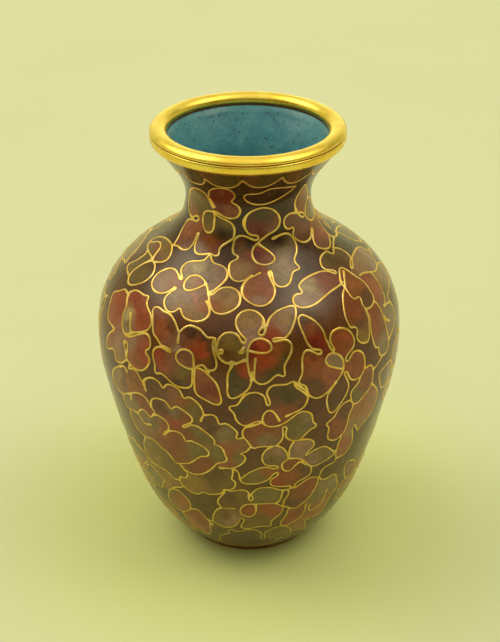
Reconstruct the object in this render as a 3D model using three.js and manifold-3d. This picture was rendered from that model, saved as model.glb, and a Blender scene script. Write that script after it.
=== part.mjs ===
// Cloisonne vase, millimetres, +Z up, standing on z = 0 with its axis on the Z axis.
// The front faces -Y. Angles are degrees from the front, turning towards +X.
// From the inside out: lining enamel, spun copper body, dark ground enamel. The ground has a
// sunk bed for each flower, holding a bent wire and the petal enamel inside it. A scalloped
// collar runs under the mouth ring, and a foot ring surrounds an enamel base disc.
import * as THREE from 'three';
import Module from 'manifold-3d';

// ---- driving dimensions ------------------------------------------------------------------
const SEGMENTS = 28;           // facets around the vase
const HEIGHT = 101.1;          // foot to top of the mouth ring

// depths are measured inwards from the enamel surface, square to it
const GROUND_THICKNESS = 0.9;
const GROUND_BOTTOM = 1.9;
const GROUND_TOP = 96.9;
const COPPER_DEPTH = GROUND_THICKNESS + 0.15;
const COPPER_WALL = 1;
const COPPER_BOTTOM = 2.6;
const LINING_GAP = 0.2;        // between copper and lining
const LINING_THICKNESS = 0.6;
const LINING_TOP = 96.6;

const BED_DEPTH = 0.58;        // flower beds and collar bed in the ground enamel
const BED_CUT_HEIGHT = 4;      // how far the bed cuts reach outside the surface
const BED_GAP = 0.6;           // wire centre line to the bed wall, and to the petal enamel
const PETAL_DEPTH = 0.35;
const WIRE_WIDTH = 0.44;
const WIRE_DEPTH = 0.2;        // below the enamel surface
const WIRE_PROUD = 0.07;       // above the enamel surface

// enamel surface: [height, radius]
const PROFILE = [
  [1.6, 16.95], [3, 18.23], [5, 19.93], [8, 22.0], [12, 24.2], [18, 26.58], [24, 28.39],
  [32, 30.43], [40, 32.24], [46, 33.32], [50, 33.77], [53, 33.88], [56, 33.76], [60, 33.06],
  [63, 32.0], [66, 30.33], [68.5, 28.36], [71, 25.73], [73, 22.99], [75, 20.06], [77, 17.48],
  [79, 15.53], [81, 14.21], [83.2, 13.63], [86, 13.4], [88.4, 13.75], [90.6, 14.64],
  [92.6, 15.84], [94.6, 17.25], [96.4, 18.66], [97.9, 19.9],
];
// heights at which the revolved walls have a row of points
const ROWS = [
  1.6, 4.8, 9.5, 16.5, 26, 37, 46.5, 54.5, 61.5, 67.2, 72.2, 76, 79, 82, 86, 90, 93.6, 97.9,
];
const CLIP_MARGIN = 0.25;      // rows this close to a clipped end are left out

// Flowers. outline: the wire's centre line as [angle, height].
// lean: degrees the bed walls tip up from horizontal, to stay close to the surface normal.
// both: the flower is repeated on the back.
const FLOWERS = [
  { name: 'neck_blossom_left', lean: 14, both: true, outline: [
    [-27.5, 91.57], [-35.1, 90.34], [-49.6, 90.48], [-58.4, 88.58], [-67.1, 86.65],
    [-69, 84.94], [-63.6, 82.53], [-68.3, 79.72], [-62.9, 77.18], [-50.1, 77.46],
    [-37.3, 77.74], [-24.5, 78.03], [-18.6, 79.63], [-12.8, 81.33], [-14.3, 84.81],
    [-7, 87.38], [-12.7, 89.3], [-11.9, 92.1], [-19.9, 92.81],
  ] },
  { name: 'bell_blossom', lean: 20, both: true, outline: [
    [-1.5, 86.08], [-2.8, 82.46], [-12.1, 79.91], [-11.8, 77.69], [-11.4, 75.55],
    [-4.1, 74.54], [-1.6, 72.49], [4.9, 71.58], [13.9, 73.08], [22.8, 74.4], [31.8, 75.65],
    [32.4, 76.9], [39.3, 79.06], [36.4, 81], [25.7, 82.03], [28.6, 84.14], [25.8, 86.05],
    [11.5, 87.75],
  ] },
  { name: 'neck_blossom_right', lean: 14, both: false, outline: [
    [45.8, 88.31], [45.4, 85.68], [34.6, 84.72], [33, 83], [41.2, 81.4], [44.6, 79.11],
    [54.6, 78.62], [57.8, 76.77], [68.4, 76.11], [79.1, 77.3], [82.9, 79.75], [86.7, 82.43],
    [77.2, 85.39], [67.8, 86.44], [59.6, 88.45], [51.5, 90.44],
  ] },
  { name: 'shoulder_bud', lean: 50, both: false, outline: [
    [-82.2, 76.11], [-86.9, 73.87], [-78.1, 73.3], [-79.2, 70.33], [-66.8, 69.27],
    [-58.3, 71.22], [-57.9, 72.52], [-61.3, 73.71], [-57.6, 75.06], [-60.3, 76.12],
    [-69.2, 76.78],
  ] },
  { name: 'side_blossom', lean: 14, both: false, outline: [
    [-59.5, 69.36], [-63.1, 68.23], [-67.1, 68.09], [-72.7, 66.05], [-68.9, 62.08],
    [-63, 60.65], [-64.4, 55.86], [-59.2, 56.85], [-54.9, 54.96], [-49.5, 56.93],
    [-41.9, 56.44], [-38.4, 58.48], [-38.9, 62.85], [-41.6, 64.61], [-42, 66.78],
    [-51.5, 69.67],
  ] },
  { name: 'lilac_blossom', lean: 38, both: true, outline: [
    [-41, 76.1], [-44.9, 74.53], [-51.3, 74.19], [-54.7, 73.24], [-54.8, 72.11],
    [-50.9, 71.06], [-42.1, 70.99], [-36.8, 69.05], [-30.9, 69.59], [-21.4, 68.77],
    [-16.4, 70.34], [-8.4, 70.73], [-4.3, 72.21], [-6.9, 73.71], [-13.2, 74.28],
    [-17, 76.55], [-29.1, 77.24],
  ] },
  { name: 'star_blossom', lean: 14, both: false, outline: [
    [-42, 68.19], [-39.3, 65.15], [-35.7, 63.5], [-37, 61.27], [-34.8, 57.87],
    [-25.6, 56.05], [-20.2, 56.41], [-16.8, 54.54], [-10.2, 53.68], [-10.6, 57.16],
    [-13.4, 59.7], [-11.7, 62.41], [-14.2, 66.31], [-21.1, 67.77], [-28.5, 67.05],
    [-32.5, 68.25], [-41.1, 68.78],
  ] },
  { name: 'centre_blossom', lean: 14, both: false, outline: [
    [8.2, 69.78], [1.1, 71.06], [-4.1, 70.52], [-5.6, 68.03], [-9.7, 67.47], [-11.6, 66.3],
    [-9.9, 63.07], [-6.9, 61.8], [-6.7, 58.64], [-6.5, 55.32], [-3.4, 55.73], [1.2, 58.59],
    [5.4, 58.4], [12.3, 60.25], [15.9, 64.68], [15.2, 66.72], [20.8, 70.12], [17.5, 71.1],
  ] },
  { name: 'shoulder_blossom', lean: 22, both: true, outline: [
    [64.8, 75.23], [57.2, 75.93], [52.2, 75.77], [45.8, 74.26], [37.6, 74.05],
    [29.4, 73.83], [21.7, 71.71], [26.8, 70.5], [48, 70.73], [42.3, 67.02], [44.8, 64.27],
    [44.1, 62.55], [51.5, 60.96], [55.8, 56.08], [60.6, 55.66], [63.8, 57.86],
    [73.8, 60.09], [74.4, 64.73], [84.1, 65.19], [93.8, 65.64], [94.3, 67.13],
    [91.5, 69.66], [90.9, 75.6], [79.6, 76.16],
  ] },
  { name: 'red_blossom', lean: 8, both: false, outline: [
    [21, 68.3], [22.4, 64.55], [19.6, 63], [17.8, 57.82], [21.8, 53.95], [27.7, 52.96],
    [31.4, 48.23], [36.5, 51.69], [38, 54.23], [45.1, 55.49], [45.7, 58.56], [41.7, 61.11],
    [42.1, 63.93], [40.1, 65.35], [30.8, 65.63], [27.7, 68.3], [23.5, 69.43],
  ] },
  { name: 'peony', lean: -12, both: true, outline: [
    [-40.3, 54.23], [-40.2, 50.76], [-46.1, 49.86], [-54.2, 46.59], [-52.3, 42.8],
    [-50.3, 39.12], [-46.8, 37.86], [-39.5, 37.81], [-34.1, 35.47], [-28.6, 33.16],
    [-26.5, 30.58], [-31.1, 27.78], [-28.2, 25.46], [-24.5, 24.89], [-13.2, 26.53],
    [-6.1, 29.64], [-6.4, 35.27], [-2.1, 37.72], [0.1, 43], [-3.4, 45.62], [-6.9, 48.29],
    [-15.7, 50.76], [-19.5, 53.73], [-28.1, 54.82], [-36.8, 55.91],
  ] },
  { name: 'lower_blossom', lean: -2, both: false, outline: [
    [8.2, 57.83], [4.9, 56.22], [1.1, 56.46], [-6.1, 52.7], [-2.1, 48.08], [-2.1, 46.34],
    [3.1, 42.21], [8.9, 42.14], [12.8, 43.84], [18.4, 42.98], [24.1, 45.93], [22.2, 49.5],
    [19.4, 51.19], [20.2, 53.04], [18.4, 55.66], [13.9, 57.99],
  ] },
  { name: 'low_blossom', lean: -15, both: true, outline: [
    [14.1, 41.07], [5.8, 40.78], [5.4, 36.41], [-1.9, 33.41], [-3.1, 31.21], [2.4, 30.62],
    [7.2, 31.25], [9.6, 29.55], [18.1, 28.4], [25.1, 30.69], [26.8, 33.09], [35.4, 35.57],
    [33.6, 37.02], [29.8, 38.74], [25.6, 39.01], [24.3, 41.56], [21.1, 42.62],
  ] },
  { name: 'foot_blossom', lean: -25, both: true, outline: [
    [0.6, 27.83], [-4.8, 28.39], [-13.4, 25.11], [-13.5, 21.93], [-18.4, 16.61],
    [-15.8, 14.63], [-11.6, 14.15], [-5.9, 15.13], [-0.8, 14.2], [10.2, 15.34],
    [15.2, 20.54], [12.7, 23.2], [14.1, 27], [5.2, 29.14],
  ] },
];

// ---- materials ---------------------------------------------------------------------------
const BODY_COPPER = { color: 0x9a5a34, roughness: 0.35, metalness: 0.9 };
const FOOT_COPPER = { ...BODY_COPPER, roughness: 0.4 };
const RING_GILT = { color: 0xd8a93c, roughness: 0.25, metalness: 1 };
const WIRE_GILT = { ...RING_GILT, roughness: 0.3 };
const TURQUOISE = { color: 0x5f8f8c, roughness: 0.25, metalness: 0 };
const COLLAR_BRONZE = { color: 0x6b5426, roughness: 0.25, metalness: 0 };
const DARK_GROUND = { color: 0x3a2818, roughness: 0.2, metalness: 0 };
const PETAL_COLORS = [0x8a4a2e, 0x7c5a3a, 0x8a6a72, 0x9a5530, 0x6f6236];
const petalEnamel = (index) => (
  { color: PETAL_COLORS[index % PETAL_COLORS.length], roughness: 0.2, metalness: 0 }
);

// ---- enamel surface ----------------------------------------------------------------------
const radians = THREE.MathUtils.degToRad;

function profileSlope(i) {
  const chord = (k) => (PROFILE[k + 1][1] - PROFILE[k][1]) / (PROFILE[k + 1][0] - PROFILE[k][0]);
  if (i === 0) return chord(0);
  if (i === PROFILE.length - 1) return chord(i - 1);
  const below = PROFILE[i][0] - PROFILE[i - 1][0];
  const above = PROFILE[i + 1][0] - PROFILE[i][0];
  return (chord(i - 1) * above + chord(i) * below) / (below + above);
}

// radius and slope (radius per height) at height z, by cubic Hermite interpolation
function surface(z) {
  let i = 0;
  while (i < PROFILE.length - 2 && z > PROFILE[i + 1][0]) i++;
  const [z0, r0] = PROFILE[i];
  const [z1, r1] = PROFILE[i + 1];
  const span = z1 - z0;
  const t = (z - z0) / span;
  const t2 = t * t;
  const t3 = t2 * t;
  const rise0 = span * profileSlope(i);
  const rise1 = span * profileSlope(i + 1);
  const radius = (2 * t3 - 3 * t2 + 1) * r0 + (t3 - 2 * t2 + t) * rise0
    + (-2 * t3 + 3 * t2) * r1 + (t3 - t2) * rise1;
  const slope = ((6 * t2 - 6 * t) * r0 + (3 * t2 - 4 * t + 1) * rise0
    + (-6 * t2 + 6 * t) * r1 + (3 * t2 - 2 * t) * rise1) / span;
  return { radius, slope };
}

// [radius, height] rows of the surface moved inwards by depth, clipped to bottom..top
function offsetRows(depth, bottom, top) {
  const rows = ROWS.map((z) => {
    const { radius, slope } = surface(z);
    const length = Math.hypot(1, slope);
    return [radius - depth / length, z + depth * slope / length];
  });
  const clipped = [];
  rows.forEach(([radius, z], i) => {
    if (i > 0) {
      const [lastRadius, lastZ] = rows[i - 1];
      for (const limit of [bottom, top]) {
        if ((lastZ - limit) * (z - limit) < 0) {
          const t = (limit - lastZ) / (z - lastZ);
          clipped.push([lastRadius + (radius - lastRadius) * t, limit]);
        }
      }
    }
    if (z > bottom + CLIP_MARGIN && z < top - CLIP_MARGIN) clipped.push([radius, z]);
  });
  return clipped;
}

// point on the faceted wall
const ROW_RADII = ROWS.map((z) => surface(z).radius);
function onWall(angle, z) {
  let i = 0;
  while (i < ROWS.length - 2 && z > ROWS[i + 1]) i++;
  const t = (z - ROWS[i]) / (ROWS[i + 1] - ROWS[i]);
  const cornerRadius = ROW_RADII[i] + (ROW_RADII[i + 1] - ROW_RADII[i]) * t;
  const step = 360 / SEGMENTS;
  const fromFacetMiddle = radians(((angle % step) + step) % step - step / 2);
  const radius = cornerRadius * Math.cos(Math.PI / SEGMENTS) / Math.cos(fromFacetMiddle);
  const turn = radians(angle);
  return new THREE.Vector3(radius * Math.sin(turn), -radius * Math.cos(turn), z);
}

// wall point moved outwards by distance, along a direction tipped up by lean
function offWall([angle, z], lean, distance) {
  const turn = radians(angle);
  const tip = radians(lean);
  const direction = new THREE.Vector3(
    Math.cos(tip) * Math.sin(turn), -Math.cos(tip) * Math.cos(turn), Math.sin(tip));
  return onWall(angle, z).addScaledVector(direction, distance).toArray();
}

// outline grown by distance along the surface (negative shrinks it), with mitred corners
const MITRE_LIMIT = 0.6;       // smallest corner cosine used
function grow(outline, distance) {
  const count = outline.length;
  return outline.map(([angle, z], i) => {
    const { radius, slope } = surface(z);
    const perDegree = radians(radius);
    const perHeight = Math.hypot(1, slope);
    const sideTo = (other) => {
      const side = new THREE.Vector2((other[0] - angle) * perDegree, (other[1] - z) * perHeight);
      return side.normalize();
    };
    const back = sideTo(outline[(i + count - 1) % count]);
    const ahead = sideTo(outline[(i + 1) % count]);
    const backNormal = new THREE.Vector2(-back.y, back.x);
    const mitre = new THREE.Vector2(ahead.y, -ahead.x).add(backNormal).normalize();
    const reach = distance / Math.max(MITRE_LIMIT, mitre.dot(backNormal));
    return [angle + reach * mitre.x / perDegree, z + reach * mitre.y / perHeight];
  });
}

// ---- solids ------------------------------------------------------------------------------
const wasm = await Module();
wasm.setup();

function solid(points, faces) {
  return new wasm.Manifold(new wasm.Mesh({
    numProp: 3,
    vertProperties: new Float32Array(points.flat()),
    triVerts: new Uint32Array(faces.flat()),
  }));
}

// revolve a profile given anticlockwise in [radius, z]: closed on itself, or axis to axis
function revolve(profile) {
  const points = [];
  const rings = profile.map(([radius, z]) => {
    const start = points.length;
    if (radius === 0) {
      points.push([0, 0, z]);
      return [start];
    }
    return Array.from({ length: SEGMENTS }, (_, s) => {
      const turn = 2 * Math.PI * s / SEGMENTS;
      points.push([radius * Math.sin(turn), -radius * Math.cos(turn), z]);
      return start + s;
    });
  });
  const faces = [];
  const closed = rings[0].length > 1;
  for (let i = 0; i < (closed ? rings.length : rings.length - 1); i++) {
    const low = rings[i];
    const high = rings[(i + 1) % rings.length];
    for (let s = 0; s < SEGMENTS; s++) {
      const next = (s + 1) % SEGMENTS;
      const [low0, low1] = [low[s % low.length], low[next % low.length]];
      const [high0, high1] = [high[s % high.length], high[next % high.length]];
      if (low0 !== low1) faces.push([low0, low1, high1]);
      if (high0 !== high1) faces.push([low0, high1, high0]);
    }
  }
  return solid(points, faces);
}

// open-ended wall layer between two depths
function shell(outerDepth, innerDepth) {
  const rows = (depth) => offsetRows(depth, GROUND_BOTTOM, GROUND_TOP);
  return revolve([...rows(outerDepth), ...rows(innerDepth).reverse()]);
}

// wall layer with a flat closed bottom
function vessel({ depth, thickness, bottom, top }) {
  const floor = bottom + thickness;
  return revolve([
    [0, bottom],
    ...offsetRows(depth, bottom, top),
    ...offsetRows(depth + thickness, floor, top).reverse(),
    [0, floor],
  ]);
}

// faces joining two loops of points, given by the index of each loop's first point
function join(first, second, count) {
  return Array.from({ length: count }, (_, i) => {
    const j = (i + 1) % count;
    return [[first + i, second + i, second + j], [first + i, second + j, first + j]];
  }).flat();
}
const flipped = (faces) => faces.map(([a, b, c]) => [a, c, b]);

// closed strip between two loops of equal point count, from outer to inner off the wall
function strip(loopA, loopB, { outer, inner, lean }) {
  const count = loopA.length;
  const points = [loopA, loopB].flatMap((loop) => (
    [outer, inner].flatMap((distance) => loop.map((p) => offWall(p, lean, distance)))
  ));
  const [outerA, innerA, outerB, innerB] = [0, count, 2 * count, 3 * count];
  return solid(points, [
    ...flipped(join(outerA, outerB, count)),
    ...join(innerA, innerB, count),
    ...join(outerA, innerA, count),
    ...flipped(join(outerB, innerB, count)),
  ]);
}

// plug through the wall with the outline's section
const PLUG_LEVELS = [24, 0.5, -0.9, -9];   // off the wall; the middle two keep its sides true
const CAP_MM_PER_DEGREE = 0.5; // rough scale for triangulating the ends
function plug(outline, lean) {
  const count = outline.length;
  const points = PLUG_LEVELS.flatMap((level) => outline.map((p) => offWall(p, lean, level)));
  const flat = outline.map(([angle, z]) => new THREE.Vector2(angle * CAP_MM_PER_DEGREE, z));
  const last = (PLUG_LEVELS.length - 1) * count;
  const faces = [];
  for (const [a, b, c] of THREE.ShapeUtils.triangulateShape(flat, [])) {
    faces.push([a, b, c], [last + c, last + b, last + a]);
  }
  for (let k = 0; k < last; k += count) faces.push(...join(k, k + count, count));
  return solid(points, faces);
}

// ---- group -------------------------------------------------------------------------------
const root = new THREE.Group();

function toGeometry(body) {
  const mesh = body.getMesh();
  const geometry = new THREE.BufferGeometry();
  const positions = new Float32Array(mesh.numVert * 3);
  for (let i = 0; i < mesh.numVert; i++) {
    for (let k = 0; k < 3; k++) positions[3 * i + k] = mesh.vertProperties[i * mesh.numProp + k];
  }
  geometry.setAttribute('position', new THREE.BufferAttribute(positions, 3));
  geometry.setIndex(new THREE.BufferAttribute(new Uint32Array(mesh.triVerts), 1));
  geometry.computeVertexNormals();
  return geometry;
}

function add(name, body, material) {
  const mesh = new THREE.Mesh(toGeometry(body), new THREE.MeshStandardMaterial(material));
  mesh.name = name;
  root.add(mesh);
}

// ---- body and lining ---------------------------------------------------------------------
const copperBody = () => vessel({
  depth: COPPER_DEPTH,
  thickness: COPPER_WALL,
  bottom: COPPER_BOTTOM,
  top: GROUND_TOP,
});
const lining = () => vessel({
  depth: COPPER_DEPTH + COPPER_WALL + LINING_GAP,
  thickness: LINING_THICKNESS,
  bottom: COPPER_BOTTOM + COPPER_WALL + LINING_GAP,
  top: LINING_TOP,
});

// ---- mouth and foot ----------------------------------------------------------------------
// mouth ring: an elliptical bead on a short skirt; skirt points are [radius, z]
const BEAD = { radius: 18.68, halfWidth: 1.95, halfHeight: 1.72 };
const BEAD_ARC = { start: -52, step: 17.2, points: 16 };   // degrees
const SKIRT_OUTSIDE = [[17.3, 97.1], [19.2, 97.1], [19.55, 97.55]];
const SKIRT_INSIDE = [16.85, 97.9];
function mouthRing() {
  const bead = Array.from({ length: BEAD_ARC.points }, (_, k) => {
    const t = radians(BEAD_ARC.start + k * BEAD_ARC.step);
    return [
      BEAD.radius + BEAD.halfWidth * Math.cos(t),
      HEIGHT - BEAD.halfHeight + BEAD.halfHeight * Math.sin(t),
    ];
  });
  return revolve([...SKIRT_OUTSIDE, ...bead, SKIRT_INSIDE]);
}

const FOOT_BORE = 14.3;        // inner radius of the foot ring
const FOOT_TOP = 2.4;
const FOOT_OUTSIDE = [[15.75, 0], [15.95, 0.3], [16.1, 1.3], [16.0, FOOT_TOP]];   // [radius, z]
const footRing = () => revolve([[FOOT_BORE, 0], ...FOOT_OUTSIDE, [FOOT_BORE, FOOT_TOP]]);

const BASE = { radius: 14, bottom: 1.5, bevel: 0.3 };
const baseDisc = () => revolve([
  [0, BASE.bottom],
  [BASE.radius - BASE.bevel, BASE.bottom],
  [BASE.radius, BASE.bottom + BASE.bevel],
  [BASE.radius, FOOT_TOP],
  [0, FOOT_TOP],
]);

// ---- collar ------------------------------------------------------------------------------
const SCALLOPS = 15;
const SCALLOP_POINTS = 5;
const SCALLOP_START = -3;      // degrees
const SCALLOP_POWER = 0.75;    // below 1 makes the arcs fuller than a sine
const COLLAR_HIGH = 95.7;      // where two scallops meet
const COLLAR_LOW = 93.9;       // full dip of a scallop
const COLLAR_LEAN = -35;
// lower edge: height above the scallop line
const COLLAR_BED = { lowerEdge: -0.5, top: 97.6, outer: 2, inner: -BED_DEPTH };
const COLLAR_FILL = { lowerEdge: 0.45, top: 96.75, outer: 0, inner: -0.3 };
const COLLAR_WIRE_HALF = 0.17; // half the wire's height

const scallopLine = [];
for (let s = 0; s < SCALLOPS; s++) {
  for (let k = 0; k < SCALLOP_POINTS; k++) {
    const t = k / SCALLOP_POINTS;
    const dip = Math.pow(Math.sin(Math.PI * t), SCALLOP_POWER);
    scallopLine.push([
      (s + t) * 360 / SCALLOPS + SCALLOP_START,
      COLLAR_HIGH + (COLLAR_LOW - COLLAR_HIGH) * dip,
    ]);
  }
}
const raised = (height) => scallopLine.map(([angle, z]) => [angle, z + height]);

function collarBelt({ lowerEdge, top, outer, inner }) {
  const upper = scallopLine.map(([angle]) => [angle, top]);
  return strip(raised(lowerEdge), upper, { outer, inner, lean: COLLAR_LEAN });
}
const collarWire = () => strip(raised(-COLLAR_WIRE_HALF), raised(COLLAR_WIRE_HALF), {
  outer: WIRE_PROUD,
  inner: -WIRE_DEPTH,
  lean: COLLAR_LEAN,
});

// ---- flowers and ground ------------------------------------------------------------------
const bedShell = shell(-BED_CUT_HEIGHT, BED_DEPTH);
const petalShell = shell(0, PETAL_DEPTH);

function flower(name, outline, lean, material) {
  return {
    name,
    material,
    bed: plug(grow(outline, BED_GAP), lean).intersect(bedShell),
    wire: strip(grow(outline, WIRE_WIDTH / 2), grow(outline, -WIRE_WIDTH / 2), {
      outer: WIRE_PROUD,
      inner: -WIRE_DEPTH,
      lean,
    }),
    petals: plug(grow(outline, -BED_GAP), lean).intersect(petalShell),
  };
}

const flowers = FLOWERS.flatMap(({ name, lean, both, outline }, index) => {
  const sides = both ? [['front', 0], ['back', 180]] : [['front', 0]];
  return sides.map(([side, turn]) => {
    const turned = outline.map(([angle, z]) => [angle + turn, z]);
    return flower(`${name}_${side}`, turned, lean, petalEnamel(index));
  });
});

function groundEnamel() {
  let ground = shell(0, GROUND_THICKNESS);
  for (const { bed } of flowers) ground = ground.subtract(bed);
  ground = ground.subtract(collarBelt(COLLAR_BED));
  // the largest piece only, without rounding slivers
  return ground.decompose().sort((a, b) => b.volume() - a.volume())[0];
}

// ---- assembly ----------------------------------------------------------------------------
add('copper_body', copperBody(), BODY_COPPER);
add('lining_enamel', lining(), TURQUOISE);
add('mouth_ring', mouthRing(), RING_GILT);
add('foot_ring', footRing(), FOOT_COPPER);
add('base_enamel', baseDisc(), TURQUOISE);
add('ground_enamel', groundEnamel(), DARK_GROUND);
add('collar_enamel', collarBelt(COLLAR_FILL), COLLAR_BRONZE);
add('collar_wire', collarWire(), WIRE_GILT);
for (const { name, wire, petals, material } of flowers) {
  add(`wire_${name}`, wire, WIRE_GILT);
  add(`enamel_${name}`, petals, material);
}
export default root;
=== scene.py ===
# Looks of the cloisonne vase: enamel cells, gilt wires, rings and lining built round the frame.
# It stands on z = 0 about the Z axis, front to -Y, left to -X. Sizes are in mm unless noted.
import math

import bpy
import numpy as np
from mathutils import Matrix, Vector, kdtree
from mathutils.geometry import delaunay_2d_cdt


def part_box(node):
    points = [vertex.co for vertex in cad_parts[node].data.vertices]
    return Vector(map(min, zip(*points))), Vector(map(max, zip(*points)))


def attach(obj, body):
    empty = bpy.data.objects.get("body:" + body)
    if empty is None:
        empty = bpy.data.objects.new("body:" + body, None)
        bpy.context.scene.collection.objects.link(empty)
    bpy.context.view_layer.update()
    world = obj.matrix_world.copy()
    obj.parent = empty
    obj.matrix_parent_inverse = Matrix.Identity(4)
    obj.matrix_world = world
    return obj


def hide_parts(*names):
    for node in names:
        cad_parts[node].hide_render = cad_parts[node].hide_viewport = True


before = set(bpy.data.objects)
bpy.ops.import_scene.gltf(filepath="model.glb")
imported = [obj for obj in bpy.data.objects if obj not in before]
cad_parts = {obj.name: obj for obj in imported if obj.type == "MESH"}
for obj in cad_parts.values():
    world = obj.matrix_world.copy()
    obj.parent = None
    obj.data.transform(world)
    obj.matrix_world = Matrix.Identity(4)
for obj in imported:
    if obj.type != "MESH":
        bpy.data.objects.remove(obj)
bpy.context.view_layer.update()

MM = 0.001
random = np.random.RandomState(7)

# ------------------------------------------------------------------ enamel surface
# height, radius
PROFILE = np.array([
    (1.6, 16.95), (3, 18.23), (5, 19.93), (8, 22.0), (12, 24.2), (18, 26.58), (24, 28.39),
    (32, 30.43), (40, 32.24), (46, 33.32), (50, 33.77), (53, 33.88), (56, 33.76), (60, 33.06),
    (63, 32.0), (66, 30.33), (68.5, 28.36), (71, 25.73), (73, 22.99), (75, 20.06), (77, 17.48),
    (79, 15.53), (81, 14.21), (83.2, 13.63), (86, 13.4), (88.4, 13.75), (90.6, 14.64),
    (92.6, 15.84), (94.6, 17.25), (96.4, 18.66), (97.9, 19.9),
])
KNOT_Z, KNOT_R = PROFILE.T
WIDEST_Z = 53.0


def spline_bends(x, y):
    """second derivatives at the knots of a not-a-knot cubic spline"""
    count, h = len(x), np.diff(x)
    a, b = np.zeros((count, count)), np.zeros(count)
    for i in range(1, count - 1):
        a[i, i - 1], a[i, i], a[i, i + 1] = h[i - 1], 2 * (h[i - 1] + h[i]), h[i]
        b[i] = 6 * ((y[i + 1] - y[i]) / h[i] - (y[i] - y[i - 1]) / h[i - 1])
    a[0, 0], a[0, 1], a[0, 2] = h[1], -(h[0] + h[1]), h[0]
    a[-1, -1], a[-1, -2], a[-1, -3] = h[-2], -(h[-2] + h[-1]), h[-1]
    return np.linalg.solve(a, b)


KNOT_BEND = spline_bends(KNOT_Z, KNOT_R)


def radius(z):
    """radius and slope dr/dz at heights z"""
    i = np.clip(np.searchsorted(KNOT_Z, z) - 1, 0, len(KNOT_Z) - 2)
    h, above, below = KNOT_Z[i + 1] - KNOT_Z[i], KNOT_Z[i + 1] - z, z - KNOT_Z[i]
    bend0, bend1 = KNOT_BEND[i], KNOT_BEND[i + 1]
    line0, line1 = KNOT_R[i] / h - bend0 * h / 6, KNOT_R[i + 1] / h - bend1 * h / 6
    r = bend0 * above**3 / (6 * h) + bend1 * below**3 / (6 * h) + line0 * above + line1 * below
    slope = -bend0 * above**2 / (2 * h) + bend1 * below**2 / (2 * h) - line0 + line1
    return r, slope


# The surface is unrolled without distortion: u is the angle from the front in degrees, to the
# right, v the matching measure up the profile, zero at the widest place.
table_z = np.linspace(KNOT_Z[0], KNOT_Z[-1], 6000)
table_r, table_slope = radius(table_z)
v_steps = (np.hypot(1, (table_slope[1:] + table_slope[:-1]) / 2) * np.diff(table_z) * 2
           / (table_r[1:] + table_r[:-1]))
table_v = np.concatenate([[0], np.cumsum(v_steps)]) * 180 / math.pi
table_v -= np.interp(WIDEST_Z, table_z, table_v)


def scale_at(v):
    """mm per degree"""
    return np.interp(v, table_v, table_r) * math.pi / 180


def wrap(u):
    return (u + 180) % 360 - 180


def on_surface(u, v, height):
    """points (m) at a height in mm above the enamel surface, and the normals"""
    z = np.interp(v, table_v, table_z)
    r, slope = radius(z)
    k = 1 / np.hypot(1, slope)
    a = np.radians(u)
    normals = np.stack([k * np.sin(a), -k * np.cos(a), -slope * k], -1)
    points = np.stack([r * np.sin(a), -r * np.cos(a), z], -1)
    return (points + normals * np.asarray(height)[..., None]) * MM, normals


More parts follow.
